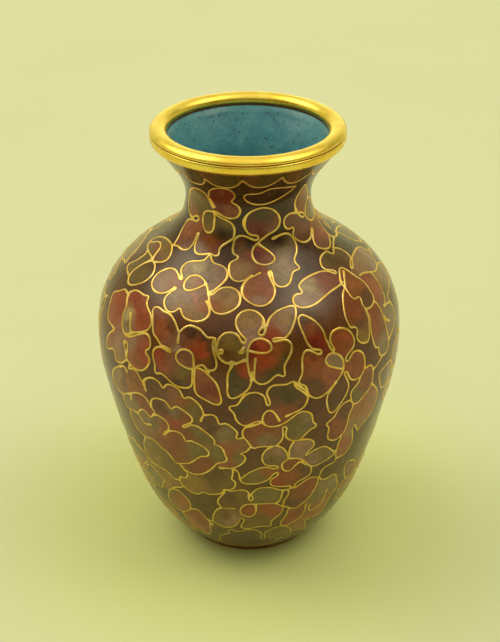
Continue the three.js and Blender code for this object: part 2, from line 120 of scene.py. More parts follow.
# ------------------------------------------------------------------ the drawing
# A code of two or three letters opens a flower. In it each line starts with its kind,
# o open wire / C closed wire / N colour border with no wire, then come its u,v points.
WIRES = """
COL
o -52,145.8 -50,144 -47.59,140.56 -48.37,137.27 -47.16,135.03 -44.46,134.14 -40.23,134.57
-35.97,135.36 -32.17,138.71 -29.32,144.5
o -29.32,144.5 -27.94,143.12 -26.53,140.84 -23.22,138.42 -18.64,137.56 -13.5,137.81
-10.67,138.91 -7.73,141.35 -5.07,145.25 -3.74,147.68
o -3.74,147.68 -2.29,146.29 -0.56,143.42 1.83,140.87 4.58,139.53 7.79,138.84 11.23,139.15
14.95,140.94 17.84,143.88 20.17,146.44 21.38,148.98
o 21.38,148.98 23.41,145.46 26.58,141.12 30.57,138.56 35.02,138.04 38.58,138.47 40.94,140.27
43.34,142.44 46,146.6
NL
o -35.29,119.56 -33.23,124.88 -31.46,128.67 -29.36,131.14 -26.76,133.13 -23.97,134.61
-20.9,135.57 -16.57,135.66 -13.94,134.98 -11.79,132.28 -10.55,129.16 -10.76,125.66 -12.64,122.48
-14.03,120.39 -12.78,118.37 -9.83,116.65 -7.9,114.19 -6.97,111 -7.65,107.65 -9.27,105.11
-12.12,103.44 -16,102.74 -19.96,103.04 -23.35,104.19 -26.73,105.55 -30.23,106.14 -32.54,105.58
o -35.29,119.56 -33.77,117.47 -32.22,114.56 -30.71,110.8
o -60.07,117.62 -54.69,122.25 -48.21,126.02 -43.63,126.81 -39.39,125.89 -36.65,123.35
-36.01,118.88 -34.89,115.3 -33.47,111.93 -31.82,110.01
o -60.07,117.62 -66.34,109.84 -69.21,102.72 -67.62,97.58 -64.53,94.07 -60.49,92.11 -57.34,91.84
C -57.26,92.99 -54.41,95.38 -50.92,96.45 -49.07,95.4 -49.6,93.27 -52.28,91.3 -55.44,90.88
o -56.51,91.22 -61.42,89.58 -65.61,87.38 -67.9,84.12 -68.41,80.43 -68.06,76.5 -66.5,73.02
-65.07,69.27 -64.13,66.28 -63.81,64.03 -61.69,64.98 -59.19,65.8 -56.43,65.62 -53.17,65.57
-50.15,66.45 -47.97,68.18 -46.83,71.08 -46.56,74.43 -46.88,78.4 -46.93,81.82
C -42.31,102.87 -38.95,105.12 -34.88,105.95 -31.92,105.35 -31.11,102.01 -31.22,96.68 -31.48,90.8
-32.93,87.8 -35.99,85.89 -39.23,86.23 -41.87,89.27 -43.69,93.27 -43.98,98.47
o -31.92,105.35 -29.47,103.81 -26.08,102.53 -22.68,101.37 -19.1,100.36 -15.32,98.72 -13.12,96.13
-11.98,92.64 -12.12,88.93 -12.77,85.38 -14.56,83.54 -17.34,81.4 -20.34,78.78 -22.27,76.21
-22.55,73.55 -22.14,70.36 -23.81,69.43 -26.23,69.79 -29.28,70.27 -31.66,69.13 -34.98,67.98
-37.88,67.42 -40.55,67.84 -42.49,69.3 -44.19,72.29 -44.91,75.7 -45.17,79.34 -45.67,82.24
-47.09,82.11
NC
o -3.94,100.28 -2.98,103.67 -0.87,107.07 2.86,110.41 6.55,112.09 9.98,113.17 13.3,113.33
17.18,112.47 21.26,110.34 25.24,106.77 27.75,102.96 28.62,98.83 27.67,94.63 25.01,91.57
21.47,89.73 17.53,88.16 13.58,86.01 9.72,83.55 6.99,81.21 4.7,79 3.26,76.76 2.63,74.07
2.81,70.87 3.9,68.46 5.71,66.55 7.99,65.47 10.96,64.85 13.73,65.04 16.28,65.87 18.05,67.22
18.82,69.43 17.94,71.09 16.34,73.33 13.94,75.58 11.41,77.83 8.83,79.88 6.99,81.21
o -3.94,100.28 -3.59,96.35 -1.86,92.52 0.35,89.88 2.88,88.53 6.01,88.15 8.19,87.34 8.53,85.79
7.37,84.54 5.19,84.16 2.07,85.51 -1.52,87.13 -5.74,87.96 -8.87,87.29 -10.96,85.12 -11.83,83.23
-12.02,81.01 -12.26,77.54 -11.92,74.36 -10.71,72.62 -8.72,72.08 -7.64,70.79 -8.13,69.12
-10.28,68.08 -12.27,66.35 -12.85,64.05 -12.58,61.04 -11.64,58.19 -10.2,55.99 -8.53,54.56
-6.05,54.01 -3.62,54.49 -1.16,55.43 1.14,57.46 1.88,58.11
o 19.86,83.84 23.5,84.64 27.7,85.59 31.97,85.82 35.37,85.04 37.57,82.97 38.54,80.37 39.25,77.67
39.32,74.52 38.44,71.89 36.69,69.1 34.37,66.95 32.32,64.75 31.9,62.36 32.53,60.45 33.14,58.5
32.11,57.43 29.96,57.48 27.69,56.82 25.97,55.04 24.6,52.95 23.1,51.01 21.17,49.59 19.4,49.08
17.4,49.19 15.71,50.02 14.56,51.62 14.22,53.97 13.94,56.84 13.81,59.51 12.79,60.19
o 12.79,60.19 12.22,59.16 12.42,56.57 12.92,53.69 13.47,51.33 13.87,49.06 13.46,46.63 12.2,43.96
10.39,41.84 8.33,40.43 5.93,39.84 3.45,40.16 1.35,41.19 -0.34,42.46 -2.31,44.39 -3.4,46.66
-3.68,49.16 -3.1,51.79 -1.77,54.01 -0.23,55.69 1.91,56.98 4.44,58.22 6.95,59.57
NR
o 47.59,101.42 45.37,108.57 45.61,113.55 46.77,117.66 48.6,123.21 49.47,126.14 50.54,128.42
o 47.79,100.3 41.7,101.81 37.47,101.64 34.42,100.12 32.65,97.32 32.74,93.35 34.28,90.16
37.04,88.53 40.03,88.92 42,88.32 42.19,86.75 40.37,84.32 39.88,81.95 40.8,79.24 42.7,76.73
45.22,74.73 48.51,73.5 51.84,73.31 55.21,73.85 58.19,75.09 61.45,77.63 64.38,79.52
o 47.59,101.42 51.02,97.28 55.04,93.73 58.62,92.92 58.64,95.36 54.98,98 50.51,99.16
o 64.38,79.52 64.66,77.85 59.49,73.85 57.18,70.97 55.87,67.89 56.62,65.13 58.74,63.17
61.05,61.49 63.96,60.4 67.41,60.31 70.87,61.37 74.39,63.15 77.87,64.95 79.71,67.18 79.51,69.02
80.25,71.25 81.91,74.88 83.5,78.18 86.37,81.86 85.09,87.23
C 62.12,99.32 60.93,94.64 62.53,90.02 66.38,86.33 72.16,84.01 78.22,83.97 84.18,85.66
87.22,88.81 83.13,96.04 74.18,105.42 66.7,106.17
o 66.7,106.17 65.53,112.63 57.61,121.34 50.54,128.42
LT
C 1.72,130.52 -1.21,130.03 -3.07,128.29 -3.33,125.21 -1.57,121.68 1.61,119.19 5.98,117.52
10.05,117.18 13.74,117.18 18.03,117.95 22.29,119.47 26.49,121.43 30.55,123.89 33.93,126.24
36.38,128.73 38.22,131.67 34.71,132.72 30.56,133.55 24.82,134.86 19.08,135.7 15.43,135.1
12.49,133.29 9.49,131.23 5.78,130.43
LO
o -87.55,49.85 -89.42,52.08 -88.66,55.17 -85,58.67 -79.59,61.84 -73.26,63.52 -67.99,63.85
-63.94,63.31 -62.58,62.13 -59.7,60.01 -58.2,57.51 -57.66,54.85 -59.03,52.28 -61.4,50.43
-64.51,48.87
o -68.02,48.14 -64.19,48.42 -61.1,47.24 -58.55,44.93 -57.5,42.12 -57.93,39.36 -59.31,36.8
-61.82,34.43 -64.24,32.87 -66.66,32.14 -69.03,32.64 -70.88,34.14 -71.89,36.29 -71.8,39.09
-71.09,41.68 -70.23,44.25 -68.97,46.74 -68.02,48.14
o -68.02,48.14 -69.62,50.64 -70.88,53.27 -72.08,55.79 -75.33,57.62 -80.24,57.11 -84.84,52.99
-87.55,49.85 -84.6,49.01 -80.36,48.76 -75.05,49.13 -70.36,49.17 -68.02,48.14
o -80.36,48.76 -77.69,46.7 -77.79,43.83 -78.16,41.08 -79.55,38.06 -80.7,36.18 -78.22,34.91
-73.93,34.4 -70.88,34.14
CL
o -39.5,48.77 -42.2,50.34 -45.31,51.92 -48.01,52.29 -50.83,51.35 -52.88,49.51 -54.67,46.96
-55.26,44.15 -54.86,41.77 -53.69,39.72 -51.63,38.23 -49,37.35 -46.21,37.32 -43.5,38.21
-41.68,39.55 -40.28,41.47 -39.21,43.37
o -39.21,43.37 -38.53,42.78 -39.62,40.73 -40.77,38.49 -41.06,36.6 -40.41,34.66 -39.23,33.2
-37.42,31.96 -35.59,31.39 -33.87,31.96 -32.66,32.92 -32.06,34.18 -31.25,34.36 -30.36,33.52
-29.3,32.19 -27.77,31.14 -25.79,30.6 -23.46,30.5 -21.43,30.77 -19.58,31.54 -18.09,32.88
-17.33,34.43 -17.57,36.39 -18.69,38.65 -19.82,39.88 -20.87,40.99 -19.72,40.68 -18.4,39.36
o -24.18,50.77 -23.02,49.44 -21.62,47.11 -20.36,44.44 -19.31,41.87 -18.04,39.11 -16.65,37.2
-14.98,35.87 -13.1,35.46 -11.25,35.61 -9.14,36.4 -7.05,37.73 -5.24,39.48 -4.34,41.3 -4.15,43.85
-4.78,46.61 -6.34,48.57 -8.38,49.7 -11.14,50 -13.78,49.4 -15.77,48.05 -17.21,46.07 -18.25,44.65
-20.41,44.09
o -20.72,44.89 -19.19,46.03 -17.95,47.42 -16.2,49.81 -14.39,52.3 -13.19,54.7 -12.87,57.11
-13.67,60.29 -15.7,62.43 -18.95,63.67 -22.09,64 -24.58,64.9 -26.25,66.57 -27.78,68.75
-29.43,68.98 -29.92,67.24 -31.03,64.89 -33.24,63.52 -37.2,62.24 -40.52,60.8 -42.7,58.68
-43.56,56.36 -43,53.82 -41.1,51.61 -38.82,49.83 -38.6,48.7 -39.5,48.77
C -34.77,51.91 -32.1,53.42 -28.92,53.56 -26.19,52.38 -24.18,50.77 -24.09,49.46 -25.78,47.77
-27.92,45.96 -30.14,44.46 -32.51,43.77 -34.36,44.63 -35.72,46.85 -35.94,49.1
FL
o -62.17,28.94 -63.98,29.18 -66.1,29.41 -67.73,28.39 -69.49,26.67 -72.46,24.68 -73.1,22.91
-72.2,21.19 -70.99,19.07 -69.79,17.03 -68.31,15.2 -66.57,14.4 -65.32,14.46 -62.99,14.34
-60.37,14.1
o -62.17,28.94 -61.77,30.3 -60.36,31.95 -57.71,33.03 -54.68,33.17 -52.35,33.2 -50.51,33.83
-49.53,33.42 -49.34,32.08 -48.59,30.71 -47.18,29.62 -45.48,28.62 -43.95,27.72 -42.63,26.44
-41.73,25.05 -41.41,23.49 -42,21.8 -43.34,20.66 -46.38,19.1 -49.66,17.52
o -62.17,28.94 -60.89,27.08 -59.27,25.48 -58.57,23.64 -58.3,21.53 -57.37,19.38 -55.74,17.21
-53.8,15.8 -51.95,15.41 -49.83,15.92 -47.62,17.24 -45.11,18.87 -42.62,20.04 -40.81,19.82
-39.46,18.56 -38.84,17.1 -39.03,15.54 -40.18,14.44 -40.47,13.57 -39.38,12.88 -38.3,12.04
-37.95,10.78 -38.55,9.06 -39.92,7.14 -41.94,5.79 -43.9,5.43 -45.86,5.6 -47.41,6.09 -49.12,6.93
-50.15,7.91 -50.84,10.16 -51.82,11.71 -52.65,12.69
o -54.43,23.78 -52.58,21.26 -51.43,19.13 -49.66,17.52
o -49.66,17.52 -51.17,16.31 -52.7,15.56
o -60.37,14.1 -61.58,12.93 -63.94,10.33 -65.22,7.58 -65.32,5.44 -63.56,4.54 -59.45,6.6
-58.06,5.91 -57.2,4.28 -55.99,3.15 -53.9,3.62 -51.82,4.67 -50.36,6.29 -49.12,6.93
o -52.65,12.69 -51.11,13.22 -50.16,12.24 -49.87,10.59 -50.15,7.91
o -53.96,2.09 -51.04,3.47 -49.19,1.83
o -47.41,6.09 -48.46,3.82 -46.39,4.76 -44.2,4.65 -42.68,3.39 -41.31,1.83 -40.29,0.46
-39.41,-1.54
CF
o -27.38,20.94 -27.75,23.13 -28.08,24.82 -29.2,26.16 -30.4,27.63 -32.01,29.11 -34.04,30.37
-35.78,30.83 -37.71,30.89 -39.52,31.2 -40.97,31.58 -42.64,31.49 -43.65,30.64 -43.75,29.52
-42.21,26.99 -40.74,24.43 -39.42,21.98 -38.04,20.72 -36.34,19.82 -34.97,18.82 -34.35,18.28
-32.53,18.13 -29.75,17.54
o -29.75,17.54 -30.23,16.96 -32.48,17.39 -34.74,17.51 -36.35,16.55 -37.03,15.3 -36.95,13.91
-36.26,12.24 -35.43,10.61 -35.28,8.85 -35.12,7.9 -34.24,7.42 -32.97,8.07 -31.58,7.89 -30.03,7.12
-28.52,6.21 -27.05,5.49 -25.43,5.06 -23.68,5.04 -21.97,5.37 -20.55,6.3 -20.14,7.61 -20.16,9.87
-20.16,12.1 -20.09,13.07
o -28.08,24.82 -27.42,25.71 -26.82,26.66 -25.83,27.79 -24.12,28.5 -22.22,28.47 -20.19,27.98
-18.54,27.01 -17.24,25.86 -15.86,25.16 -14.49,25.34 -13.72,25.55 -13.77,24.16 -13.56,21.92
-13.05,20.12 -12.31,18.56 -11.86,17.19 -11.58,15.77 -11.98,14.06 -12.96,13.41 -14.04,13.31
-15.14,13.52
o -13.22,25.38 -12.75,23.51 -12.53,20.92 -12.31,18.56
o -20.09,13.07 -19.39,12.83 -19.41,11.02 -19.37,8.9 -19.26,6.76 -18.98,4.75 -18.25,3.48
-17.16,2.8 -15.73,2.18 -14.13,1.51 -12.72,0.86 -11.35,0.55 -10.15,0.94 -9.61,2.3 -9.88,4.18
-10.3,5.93 -10.77,7.52 -11.5,9.02 -12.82,10.42 -14.42,11.72 -15.75,12.74 -17.11,13.3
-18.34,13.75 -19.45,13.48
o -19.71,13.07 -18.46,14.24 -17.24,14.81 -15.88,14.51 -15.14,13.52 -14.31,12.32
C -27.22,16.76 -26.35,18.24 -24.83,19.11 -22.48,19.12 -21.07,18.32 -20.32,16.88 -19.97,14.93
-20.09,13.07 -20.97,12.75 -22.48,12.81 -24.19,13.21 -25.67,13.87 -26.83,14.93
PL
o -40.46,1.89 -39.54,3.29 -37.78,4.58 -36.17,5.06 -34.55,4.95 -33.27,4.36 -32.29,3.32
-31.36,2.54 -30.67,3.81 -29.6,4.71 -28.21,4.92 -26.49,4.58 -25.07,3.93 -24.19,2.76 -23.68,1.51
-23.01,0.78 -21.65,1.73 -20.34,1.71 -19.28,1.08 -17.98,-0.01 -16.97,-1.4 -16.37,-2.9
-16.07,-4.54 -16.72,-5.91 -17.35,-7.78
o -40.46,1.89 -40.29,0.46
o -16.07,-4.54 -15.05,-4.52 -13.99,-4.03 -12.46,-4.09 -11.56,-4.88 -11.01,-6.33 -10.67,-7.74
-9.81,-7.77 -8.77,-7.28 -7.51,-7.61 -6.3,-8.62 -5.07,-9.9 -4.35,-11.1 -4.31,-12.56 -4.87,-13.59
-4.46,-14.37 -3.38,-14.11 -2.08,-13.52
o -37.69,-8.16 -37.53,-6.08 -37.21,-4.7 -36.22,-3.63 -34.69,-2.81 -33.09,-2.63 -31.24,-2.61
-30.12,-3.47 -29.27,-4.71 -28.32,-5.24 -27.42,-4.1 -26.33,-3.5 -25.2,-3.77 -23.83,-4.33
-22.53,-5.16 -21.32,-5.96 -20.52,-6.97 -20.45,-8.2 -21.24,-9.43 -22.69,-10.46 -24.19,-11.59
-24.78,-12.56 -23.88,-12.47 -22.16,-11.07 -21.01,-10.37 -19.63,-10.29 -18.07,-10.67
-16.87,-11.74 -15.52,-12.77 -14.26,-13.96 -13.16,-15.26 -12.73,-16.72 -12.91,-18.32
-11.61,-18.52 -10.35,-19.49 -9.58,-21.16 -9.16,-23.36 -8.63,-24.92 -8.78,-26.54 -9.76,-27.48
-11.39,-28.04 -12.67,-28.92 -13.85,-30.7 -15.51,-33.07 -17.29,-35.07 -19.86,-37.08 -22.82,-38.21
-24.45,-38.19 -25.97,-37.66 -27.51,-36.87 -28.53,-35.7 -29.03,-34.03
o -37.33,-11.38 -35.7,-10.71 -33.77,-10.94 -31.98,-11.74 -30.91,-13.06 -30.76,-14.69
-31.39,-16.41 -32.88,-18.49 -33.92,-20.05
o -32.88,-18.49 -31.18,-16.73 -29.58,-16.09 -28.07,-15.71 -26.45,-15.82 -25.1,-16.88
-24.57,-18.57 -23.92,-19.62 -22.13,-18.62 -20.65,-19.01 -18.92,-19.53 -17.22,-20.59 -15.8,-22.15
-15.43,-23.84 -16.23,-25.38 -18.64,-26.18 -20.61,-27.97 -22.67,-30.28 -24.82,-32.25
-26.89,-33.12 -29.02,-33.97 -30.84,-34.54 -32.1,-33.09 -33.21,-30.9 -34.98,-29.27 -37.3,-28.33
-39.12,-26.64 -41.66,-26.01 -45.14,-26.71 -48.15,-26.07 -50.24,-24.63
o -48.63,-9.8 -48.15,-7 -45.97,-5.32 -43.48,-4.39 -41.25,-4.33 -39.6,-5.06 -38.42,-6.69
-37.69,-8.16 -36.74,-9.04 -36.41,-9.93 -37.33,-11.38 -38.85,-13.21 -40.17,-12.57 -41.09,-11.62
-42.98,-11.6 -44.9,-13.22 -45.87,-15.17 -44.82,-16.75 -43.86,-18.37 -42.3,-18.51 -39.67,-17.46
o -45.87,-15.17 -48.27,-15.19 -50.9,-15.65 -53.06,-15.97 -54.11,-14.18 -54.64,-12.45
-53.9,-10.32 -51.49,-8.64 -48.15,-7
o -50.24,-24.63 -51.13,-21.45 -51.73,-18.71 -50.9,-15.65
BL
o -28.64,-35.02 -27.65,-37.42 -26.38,-38.77 -26.86,-41.13 -28.3,-42.8 -29.43,-42.53
-30.69,-43.38
o -30.69,-43.38 -31.36,-45.68 -30.81,-47.28 -30.21,-48.89 -28.85,-50.11 -26.87,-51.16
-24.83,-51.76 -22.65,-51.17 -20.98,-49.42 -19.41,-49.51 -17.73,-49.76 -14.8,-48.93 -12.5,-47.98
-11.11,-46.31 -10.74,-45.15
o -30.21,-48.89 -31.55,-50.6 -34.63,-52.17 -38.22,-55.24 -41.28,-59.52 -42.92,-63.83
-43.48,-68.26 -41.93,-70.89 -39.47,-72.13 -36.08,-71.96 -32.85,-69.7 -29.87,-65.98 -29.23,-62.59
-29.3,-59.78 -30.35,-57.57 -31.87,-55.77 -33.14,-54.34 -35.11,-54.14 -38.22,-55.24
o -29.87,-65.98 -27.72,-64.84 -25.88,-64.59 -24.32,-66.06 -22.85,-68.63 -21.63,-71.31
-20.34,-73.96 -19.12,-76.56
o -21.63,-71.31 -18.83,-72.24 -16.79,-73.64 -14.36,-75.39 -12.35,-75.85 -10.21,-75.41
o -46.95,-42.53 -43.3,-42.63 -40.39,-42.97 -38.28,-42.84 -36.22,-44.14 -34.47,-45.95
-31.25,-45.62
o -45.14,-26.71 -48.38,-32.97 -48.72,-38.51 -46.95,-42.53
o -20.34,-73.96 -21.5,-79.72 -22.33,-85.59 -24.96,-91.75
o -36.08,-71.96 -35.88,-78.05 -34.39,-83.72 -31.63,-87.55 -28.06,-89.97 -24.96,-91.75
MF
o 5.93,30.57 6.16,32.46 5.93,34.22 5.31,35.11 4.39,36.21 2.86,37.44 0.96,38.01 -1.27,37.87
-3.16,36.99 -4.57,35.37 -5.32,33.56 -5.46,31.82 -4.94,30.05 -3.98,28.38 -3.03,27.17 -1.76,25.94
-1.03,24.95 -1.4,24.19 -2.23,24.06 -3.2,25.07 -3.98,26.4 -4.96,27.43 -6.25,27.96 -7.93,28.02
-9.59,27.46 -10.88,26.24 -11.69,24.77 -11.93,23.11 -11.91,21.51 -11.61,19.95 -10.9,18.49
-9.76,17.32 -8.23,16.61 -7.01,16.55 -6.24,16.92
o 5.93,30.57 4.67,29.4 3.73,28.15 4.15,27.06 5.31,26.89 6.15,27.63 6.58,29.05 6.33,30.05
5.93,30.57
o 6.33,30.05 7.1,30.41 7.72,31.71 8.47,33.2 9.69,34.65 11.3,36 13.05,36.97 15.18,37.65
17.3,38.05 19.75,38.21 21.01,37.57 21.06,35.91 20.07,32.84 19.1,31.04 18.12,29.48 17.09,27.88
15.93,26.57 14.62,25.58 13.65,24.97 11.81,25.3 9.93,25.34 9.05,25.07 8.99,24.43 10.27,24.2
11.85,24.41 13.81,24.44 15.15,23.92 15.97,22.66 15.97,21.08 15.56,19.81 14.96,18.65 14.07,17.38
13.18,16.19 12.53,14.9 12.46,13.27 12.62,11.75 12.16,11.22 11.26,11.59 10.25,12.03 9.1,11.75
8.02,10.89 6.81,9.85 5.3,9.17 3.82,9.1 2.62,9.78 1.8,10.83 1.72,12.65 1.92,14.81 2.06,16.86
2.34,18.41
o -6.24,16.92 -6.26,15.48 -6.96,14.14 -7.41,12.55 -7.57,10.45 -7.47,8.35 -7.56,6.45 -7.28,4.81
-6.49,3.69 -5.25,3.68 -3.98,4.25 -2.82,5.07 -1.34,6.29 -0.38,7.29 0.38,8.86 0.77,10.44
0.53,12.02 0.09,13.29 -0.32,15.38 -0.57,17.4 -0.6,19.5 -0.46,21.51
o -6.24,16.92 -4.94,16.58 -3.84,16.88 -2.39,17.6 -0.6,17.94
o 1.35,13.6 1.26,12.01 0.77,10.44
C -0.46,21.51 0.07,22.99 1.02,24.41 2.14,25.3 3.5,25.72 4.81,25.71 5.98,25.3 7.26,24.49
8.12,23.36 8.39,22.03 7.86,20.96 6.72,20.42 4.62,20.29 2.54,20.62 0.72,21.13
o -10.64,21.26 -10.32,20.55 -9.75,20.01
o -1.9,22.46 -2.37,21.12 -3.6,20.51
RF
o 52.48,40.58 50.11,40.11 46.51,39.83 42.7,39.5 39.38,38.81 35.69,37.79 32.69,36.77 29.7,36.14
27.05,35.96 24.66,36.24 22.8,36.95 21.51,38.07 21.14,39.67 21.37,41.26 22.51,42.88 24.5,43.55
26.66,43.18 27.65,44.49 26.91,46.05 27.26,47.73 29.14,49.36 32.31,50.71 35.65,51.37 38.81,51.55
42.1,51.54 45.21,51.1 48.67,49.6 50.69,47.89 52.11,46.17 53.5,46.39 53.26,47.76 50.9,49.47
48.43,51.19 47.77,53.15 48.48,55.45 50.61,57.89 53.57,59.36 58.08,59.89 60.95,59.39 62,57.27
63.51,55.66 65.65,56.16 68.13,57.77 72.12,55.34 73.47,53.12 74.06,50.49 73.89,47.91 72.85,46.59
68.77,45.18 65.62,43.59 64.73,42.49 67.13,42.77 70.74,44.66 73.95,45.8 78.27,45.63 83.22,45.01
87.98,43.47 91.4,40.91 93.32,37.32 95.61,33.88 91.93,33.7 89.61,32.15 85.93,31.15 82.25,31.03
78.45,31.82 74.45,33.97 71.11,35.79 66.78,37.38 65.06,37.5
o 74.45,33.97 74.36,30.56 73.5,27.76 72.28,24.7 70.86,22.28 68.53,20.77 66.61,20.38
o 51.82,41.95 54.64,45 56.82,46.73 58.95,46.96 60.27,45.66 61.33,43.31 61.91,40.68 62.62,38.16
63.72,35.86 64.32,33.23 64.13,31.02 63.64,28.76 63.36,26.86 61.88,25.33 59.38,24.55 56.47,24.54
54.65,25.17 54.03,26.76 54.65,28.82 55.21,30.35 53.76,31.15 51.96,31.07 50.89,32.17 50.62,34.07
50.74,35.87 51.07,37.54 53.45,40.22 56.08,42.61 58.66,44.73
o 51.82,41.95 50.81,39.78 50.68,37.85 48.14,36.39 46.21,34.53 44.59,32.25 43.15,29.43
42.36,27.29 42.07,25.56 42.13,23.76 42.55,22.11 44.44,21.6 45.34,20.55 44.78,19.03 43.92,17.97
44.18,16.37 45.34,15.05 47.12,14.2 49.05,14.02 50.22,15.1 51.2,16.69 52.01,18.66 52.98,20.61
53.63,22.46 54.12,24.05 54.65,25.17
o 54.12,24.05 54.37,22.17 53.74,20.14 52.53,17.53 51.97,15.18 51.99,13.8 52.18,11.64 53.04,9.52
54.73,9.24 54.55,7.55 55.2,5.68 57.49,4.44 60.08,4.3 61.98,5.42 62.79,7.9 62.62,10.63
62.56,14.06 62.86,16.77 62.98,19.84 62.81,23 61.94,25.29
o 63.55,17.54 64.74,15.3 66.75,14.01
o 66.61,20.38 70.44,19.69 73.19,19 73.98,21.06 77.9,21.69 84.46,21.81 89.08,22.22 94.45,23.32
94.23,26.89 85.93,31.15
o 73.19,19 74.52,15.63 74.15,12.76 71.66,10.69 67.64,9.49 62.79,7.9
RG
o 78.78,64.56 79.26,62.52 83.2,59.67 87.67,58.5 90.63,59.23
o 81.34,61.04 74.51,59.89 68.13,57.77
o 90.63,59.23 100.33,56.22 111.14,48.21 115.3,41.63 111.48,39.67 107.52,37.61 99.42,39.05
o 90.63,59.23 93.35,54.67 93.08,50.21 95.21,44.91 99.42,39.05 100.09,34.7 95.61,33.88
RQ
o 32.13,16.43 31.31,17.27 30.73,18.8 30.59,20.22 30.1,21.28 30.06,22.61 29.99,24.3 29.59,26.03
28.71,27.83 27.69,29.5 26.23,31.04 24.66,32.33 23.26,33.18 21.99,33 21.03,31.9 20.8,30.13
20.95,28.39 21.31,26.28 21.74,24.22 22.07,22.23 22.95,20.64 23.84,19.4 25.44,18.62 26.82,18.25
27.36,17.44 26.76,16.74 25.25,17.21 23.9,18.27 22.78,18.99 21.31,19.22 20.21,18.55 19.45,17.14
19.11,15.08 19.01,13.01 18.69,10.97 17.87,9.52 17.4,8.11 18.35,7.16 19.59,6.53 20.3,5.13
20.66,3.31 21.27,2.2 22.41,1.22 24,0.42 25.68,0.48 27.38,1.25 28.58,1.86 29.67,2.97 31.18,4.25
32.7,5.37 34.03,6.8 34.91,7.94 35.39,9.63
o 32.13,16.43 32.61,17.12 31.94,18.69 31.71,20.21 32.21,21.93 33.49,23.14 35.46,23.7 37.86,23.57
39.95,22.56 41.55,20.93 42.23,19.16 42.3,17.16 41.58,15.49 40.17,14.34 38.28,13.45 36.98,12.49
36.54,11.61 37.25,10.75 38.79,11.69 40.11,12.83 41.71,13.15 43.7,12.46 45.16,10.97 45.76,9.11
45.76,6.81 45.48,4.76 44.48,3.57 43.16,2.3 41.67,2.25 40.27,2.3 38.51,3.31 37.45,5.05 36.78,6.77
35.95,7.42 35.54,6.7 36.28,4.77 37.25,2.46 37.45,0.43 36.95,-1.39 35.96,-2.96 34.84,-4.6
33.63,-5.94 32.82,-7.06 32.03,-7.8 30.82,-8.2 29.63,-7.34 28.72,-5.16 28.15,-2.83 28.17,-0.71
28.64,0.93 29.52,1.88 30.67,3.37 31.87,4.74
C 28.25,14.15 29.06,15.2 30.3,15.68 31.78,15.67 33.51,14.84 34.85,13.43 35.48,11.89 35.58,10.41
35.19,9.04 34.2,9.03 33.32,9.44 30.95,10.72 29.31,11.69 28.43,12.91
RL
o 45.48,4.76 47.05,4.66 48.46,4.71 49.84,3.69 50.43,1.95 50.54,-1.02 50.11,-3.92 49.13,-5.45
47.85,-6.31 45.99,-7.26 44.22,-8.47 42.47,-8.9 40.48,-8.12 39.36,-5.96 38.94,-4.48 38.8,-2.59
39.61,-1.31 41.09,-0.47 42.5,0.68 43.16,2.3
o 39.36,-5.96 37.49,-5.67 36.1,-5.79 34.98,-6.4 33.87,-7.3 33.01,-8.61 32.26,-10.37 30.93,-11.55
29.36,-12.38 28.97,-13.26 30.04,-14.52 30.46,-16.77 30.36,-18.95 31.05,-21.26 32.45,-22.64
34.61,-23.49 36.31,-23.19 37.6,-22.22
o 40.48,-8.12 40.59,-9.94 39.78,-11.54 39.34,-13.65 39.46,-16.2 39.08,-18.87 38.48,-21.18
37.6,-22.22 37.55,-24.25 37.06,-26.15 36.85,-28.34 36.85,-30.58 36.94,-32.96 37.89,-35.8
37.35,-37.57 35.51,-37.92 32.98,-38.21 31.35,-39.65 30.92,-42.11 30.53,-43.47 28.54,-42.65
26.37,-42.07 24.43,-42.69 22.59,-43.87 20.88,-45.24 19.43,-46.15
o 35.55,-30.77 36.24,-30.2
o 50.11,-3.92 53.15,-6.89 55.81,-10.9 56.5,-15.17 56.11,-18.71 54.2,-21.11 51.01,-22.47
48.07,-23.88 47.65,-25.46 45.76,-22.83 44.06,-20.23 43.28,-21.11 44.49,-26.1 45.47,-30.03
44.97,-33.05 42.76,-35.73 37.89,-35.8
o 50.43,1.95 53.43,2.76 56.17,4.29 57.49,4.44
BC
o -2.2,5.59 -1.66,4.98 -0.22,5.72 1.49,6.01 2.96,5.89 4.16,5.26 5.21,4.18 5.59,2.89 5.9,1.41
6.42,0.43 7.07,0.83 6.96,2.38 6.42,3.94 6.04,5.22 6.26,6.4 7,7.56 8.23,8.28 10.5,8.35
13.01,8.21 14.31,8.63 15.36,8.91 16.1,8.52 16.9,7.59 17.4,8.11
o 16.1,8.52 16.1,7.28 16.79,6.08 18.05,4.98 19.4,3.79 20.29,2.43 20.74,2.41 20.53,0.86
20.22,-0.43 19.37,-1.87 18.07,-2.81 16.76,-3.3 15.26,-3.86 13.72,-4.45 12.63,-4.88
o 16.9,7.59 18.25,6.03 19.19,5.29 20.14,4.3 20.29,2.43
o -1.66,4.98 -2.62,3.55 -3.62,1.72 -4.66,0.73 -6.17,0.52 -6.98,-0.28 -6.4,-1.32 -5.38,-2.36
-4.99,-3.84 -4.46,-5.62 -3.51,-6.93 -2.26,-7.72 -0.83,-7.83 0.7,-7.06 2.19,-6.24 3.44,-5.98
4.52,-6.17 4.55,-4.84 4.95,-3.16 5.87,-1.9 7.12,-1.5 8.13,-2.03 9.06,-3.33 9.89,-4.96
10.57,-6.62
o 4.52,-6.17 5.09,-7.39 6.02,-8.21 7.72,-8.79 9.75,-8.72 11.52,-8.19 13.03,-7.29 14.29,-6.34
15.56,-5.33 16.88,-4.37 18.07,-3.89 19.45,-4 21.11,-4.77 22.38,-6.19 22.87,-8.16 23.33,-9.94
24.55,-11.53 24.4,-12.79 22.89,-12.89 21.8,-13.94 20.51,-15.2 19.49,-16.49 18.2,-17.38
16.53,-17.21 14.84,-16.5 13.77,-15.51 13.12,-13.91 13.12,-11.84 13.31,-10.33 12.57,-9.3
11.8,-9.92 12.03,-11.99 12.13,-14.13 11.71,-15.88 10.85,-17.39 9.86,-18.44 8.02,-18.71
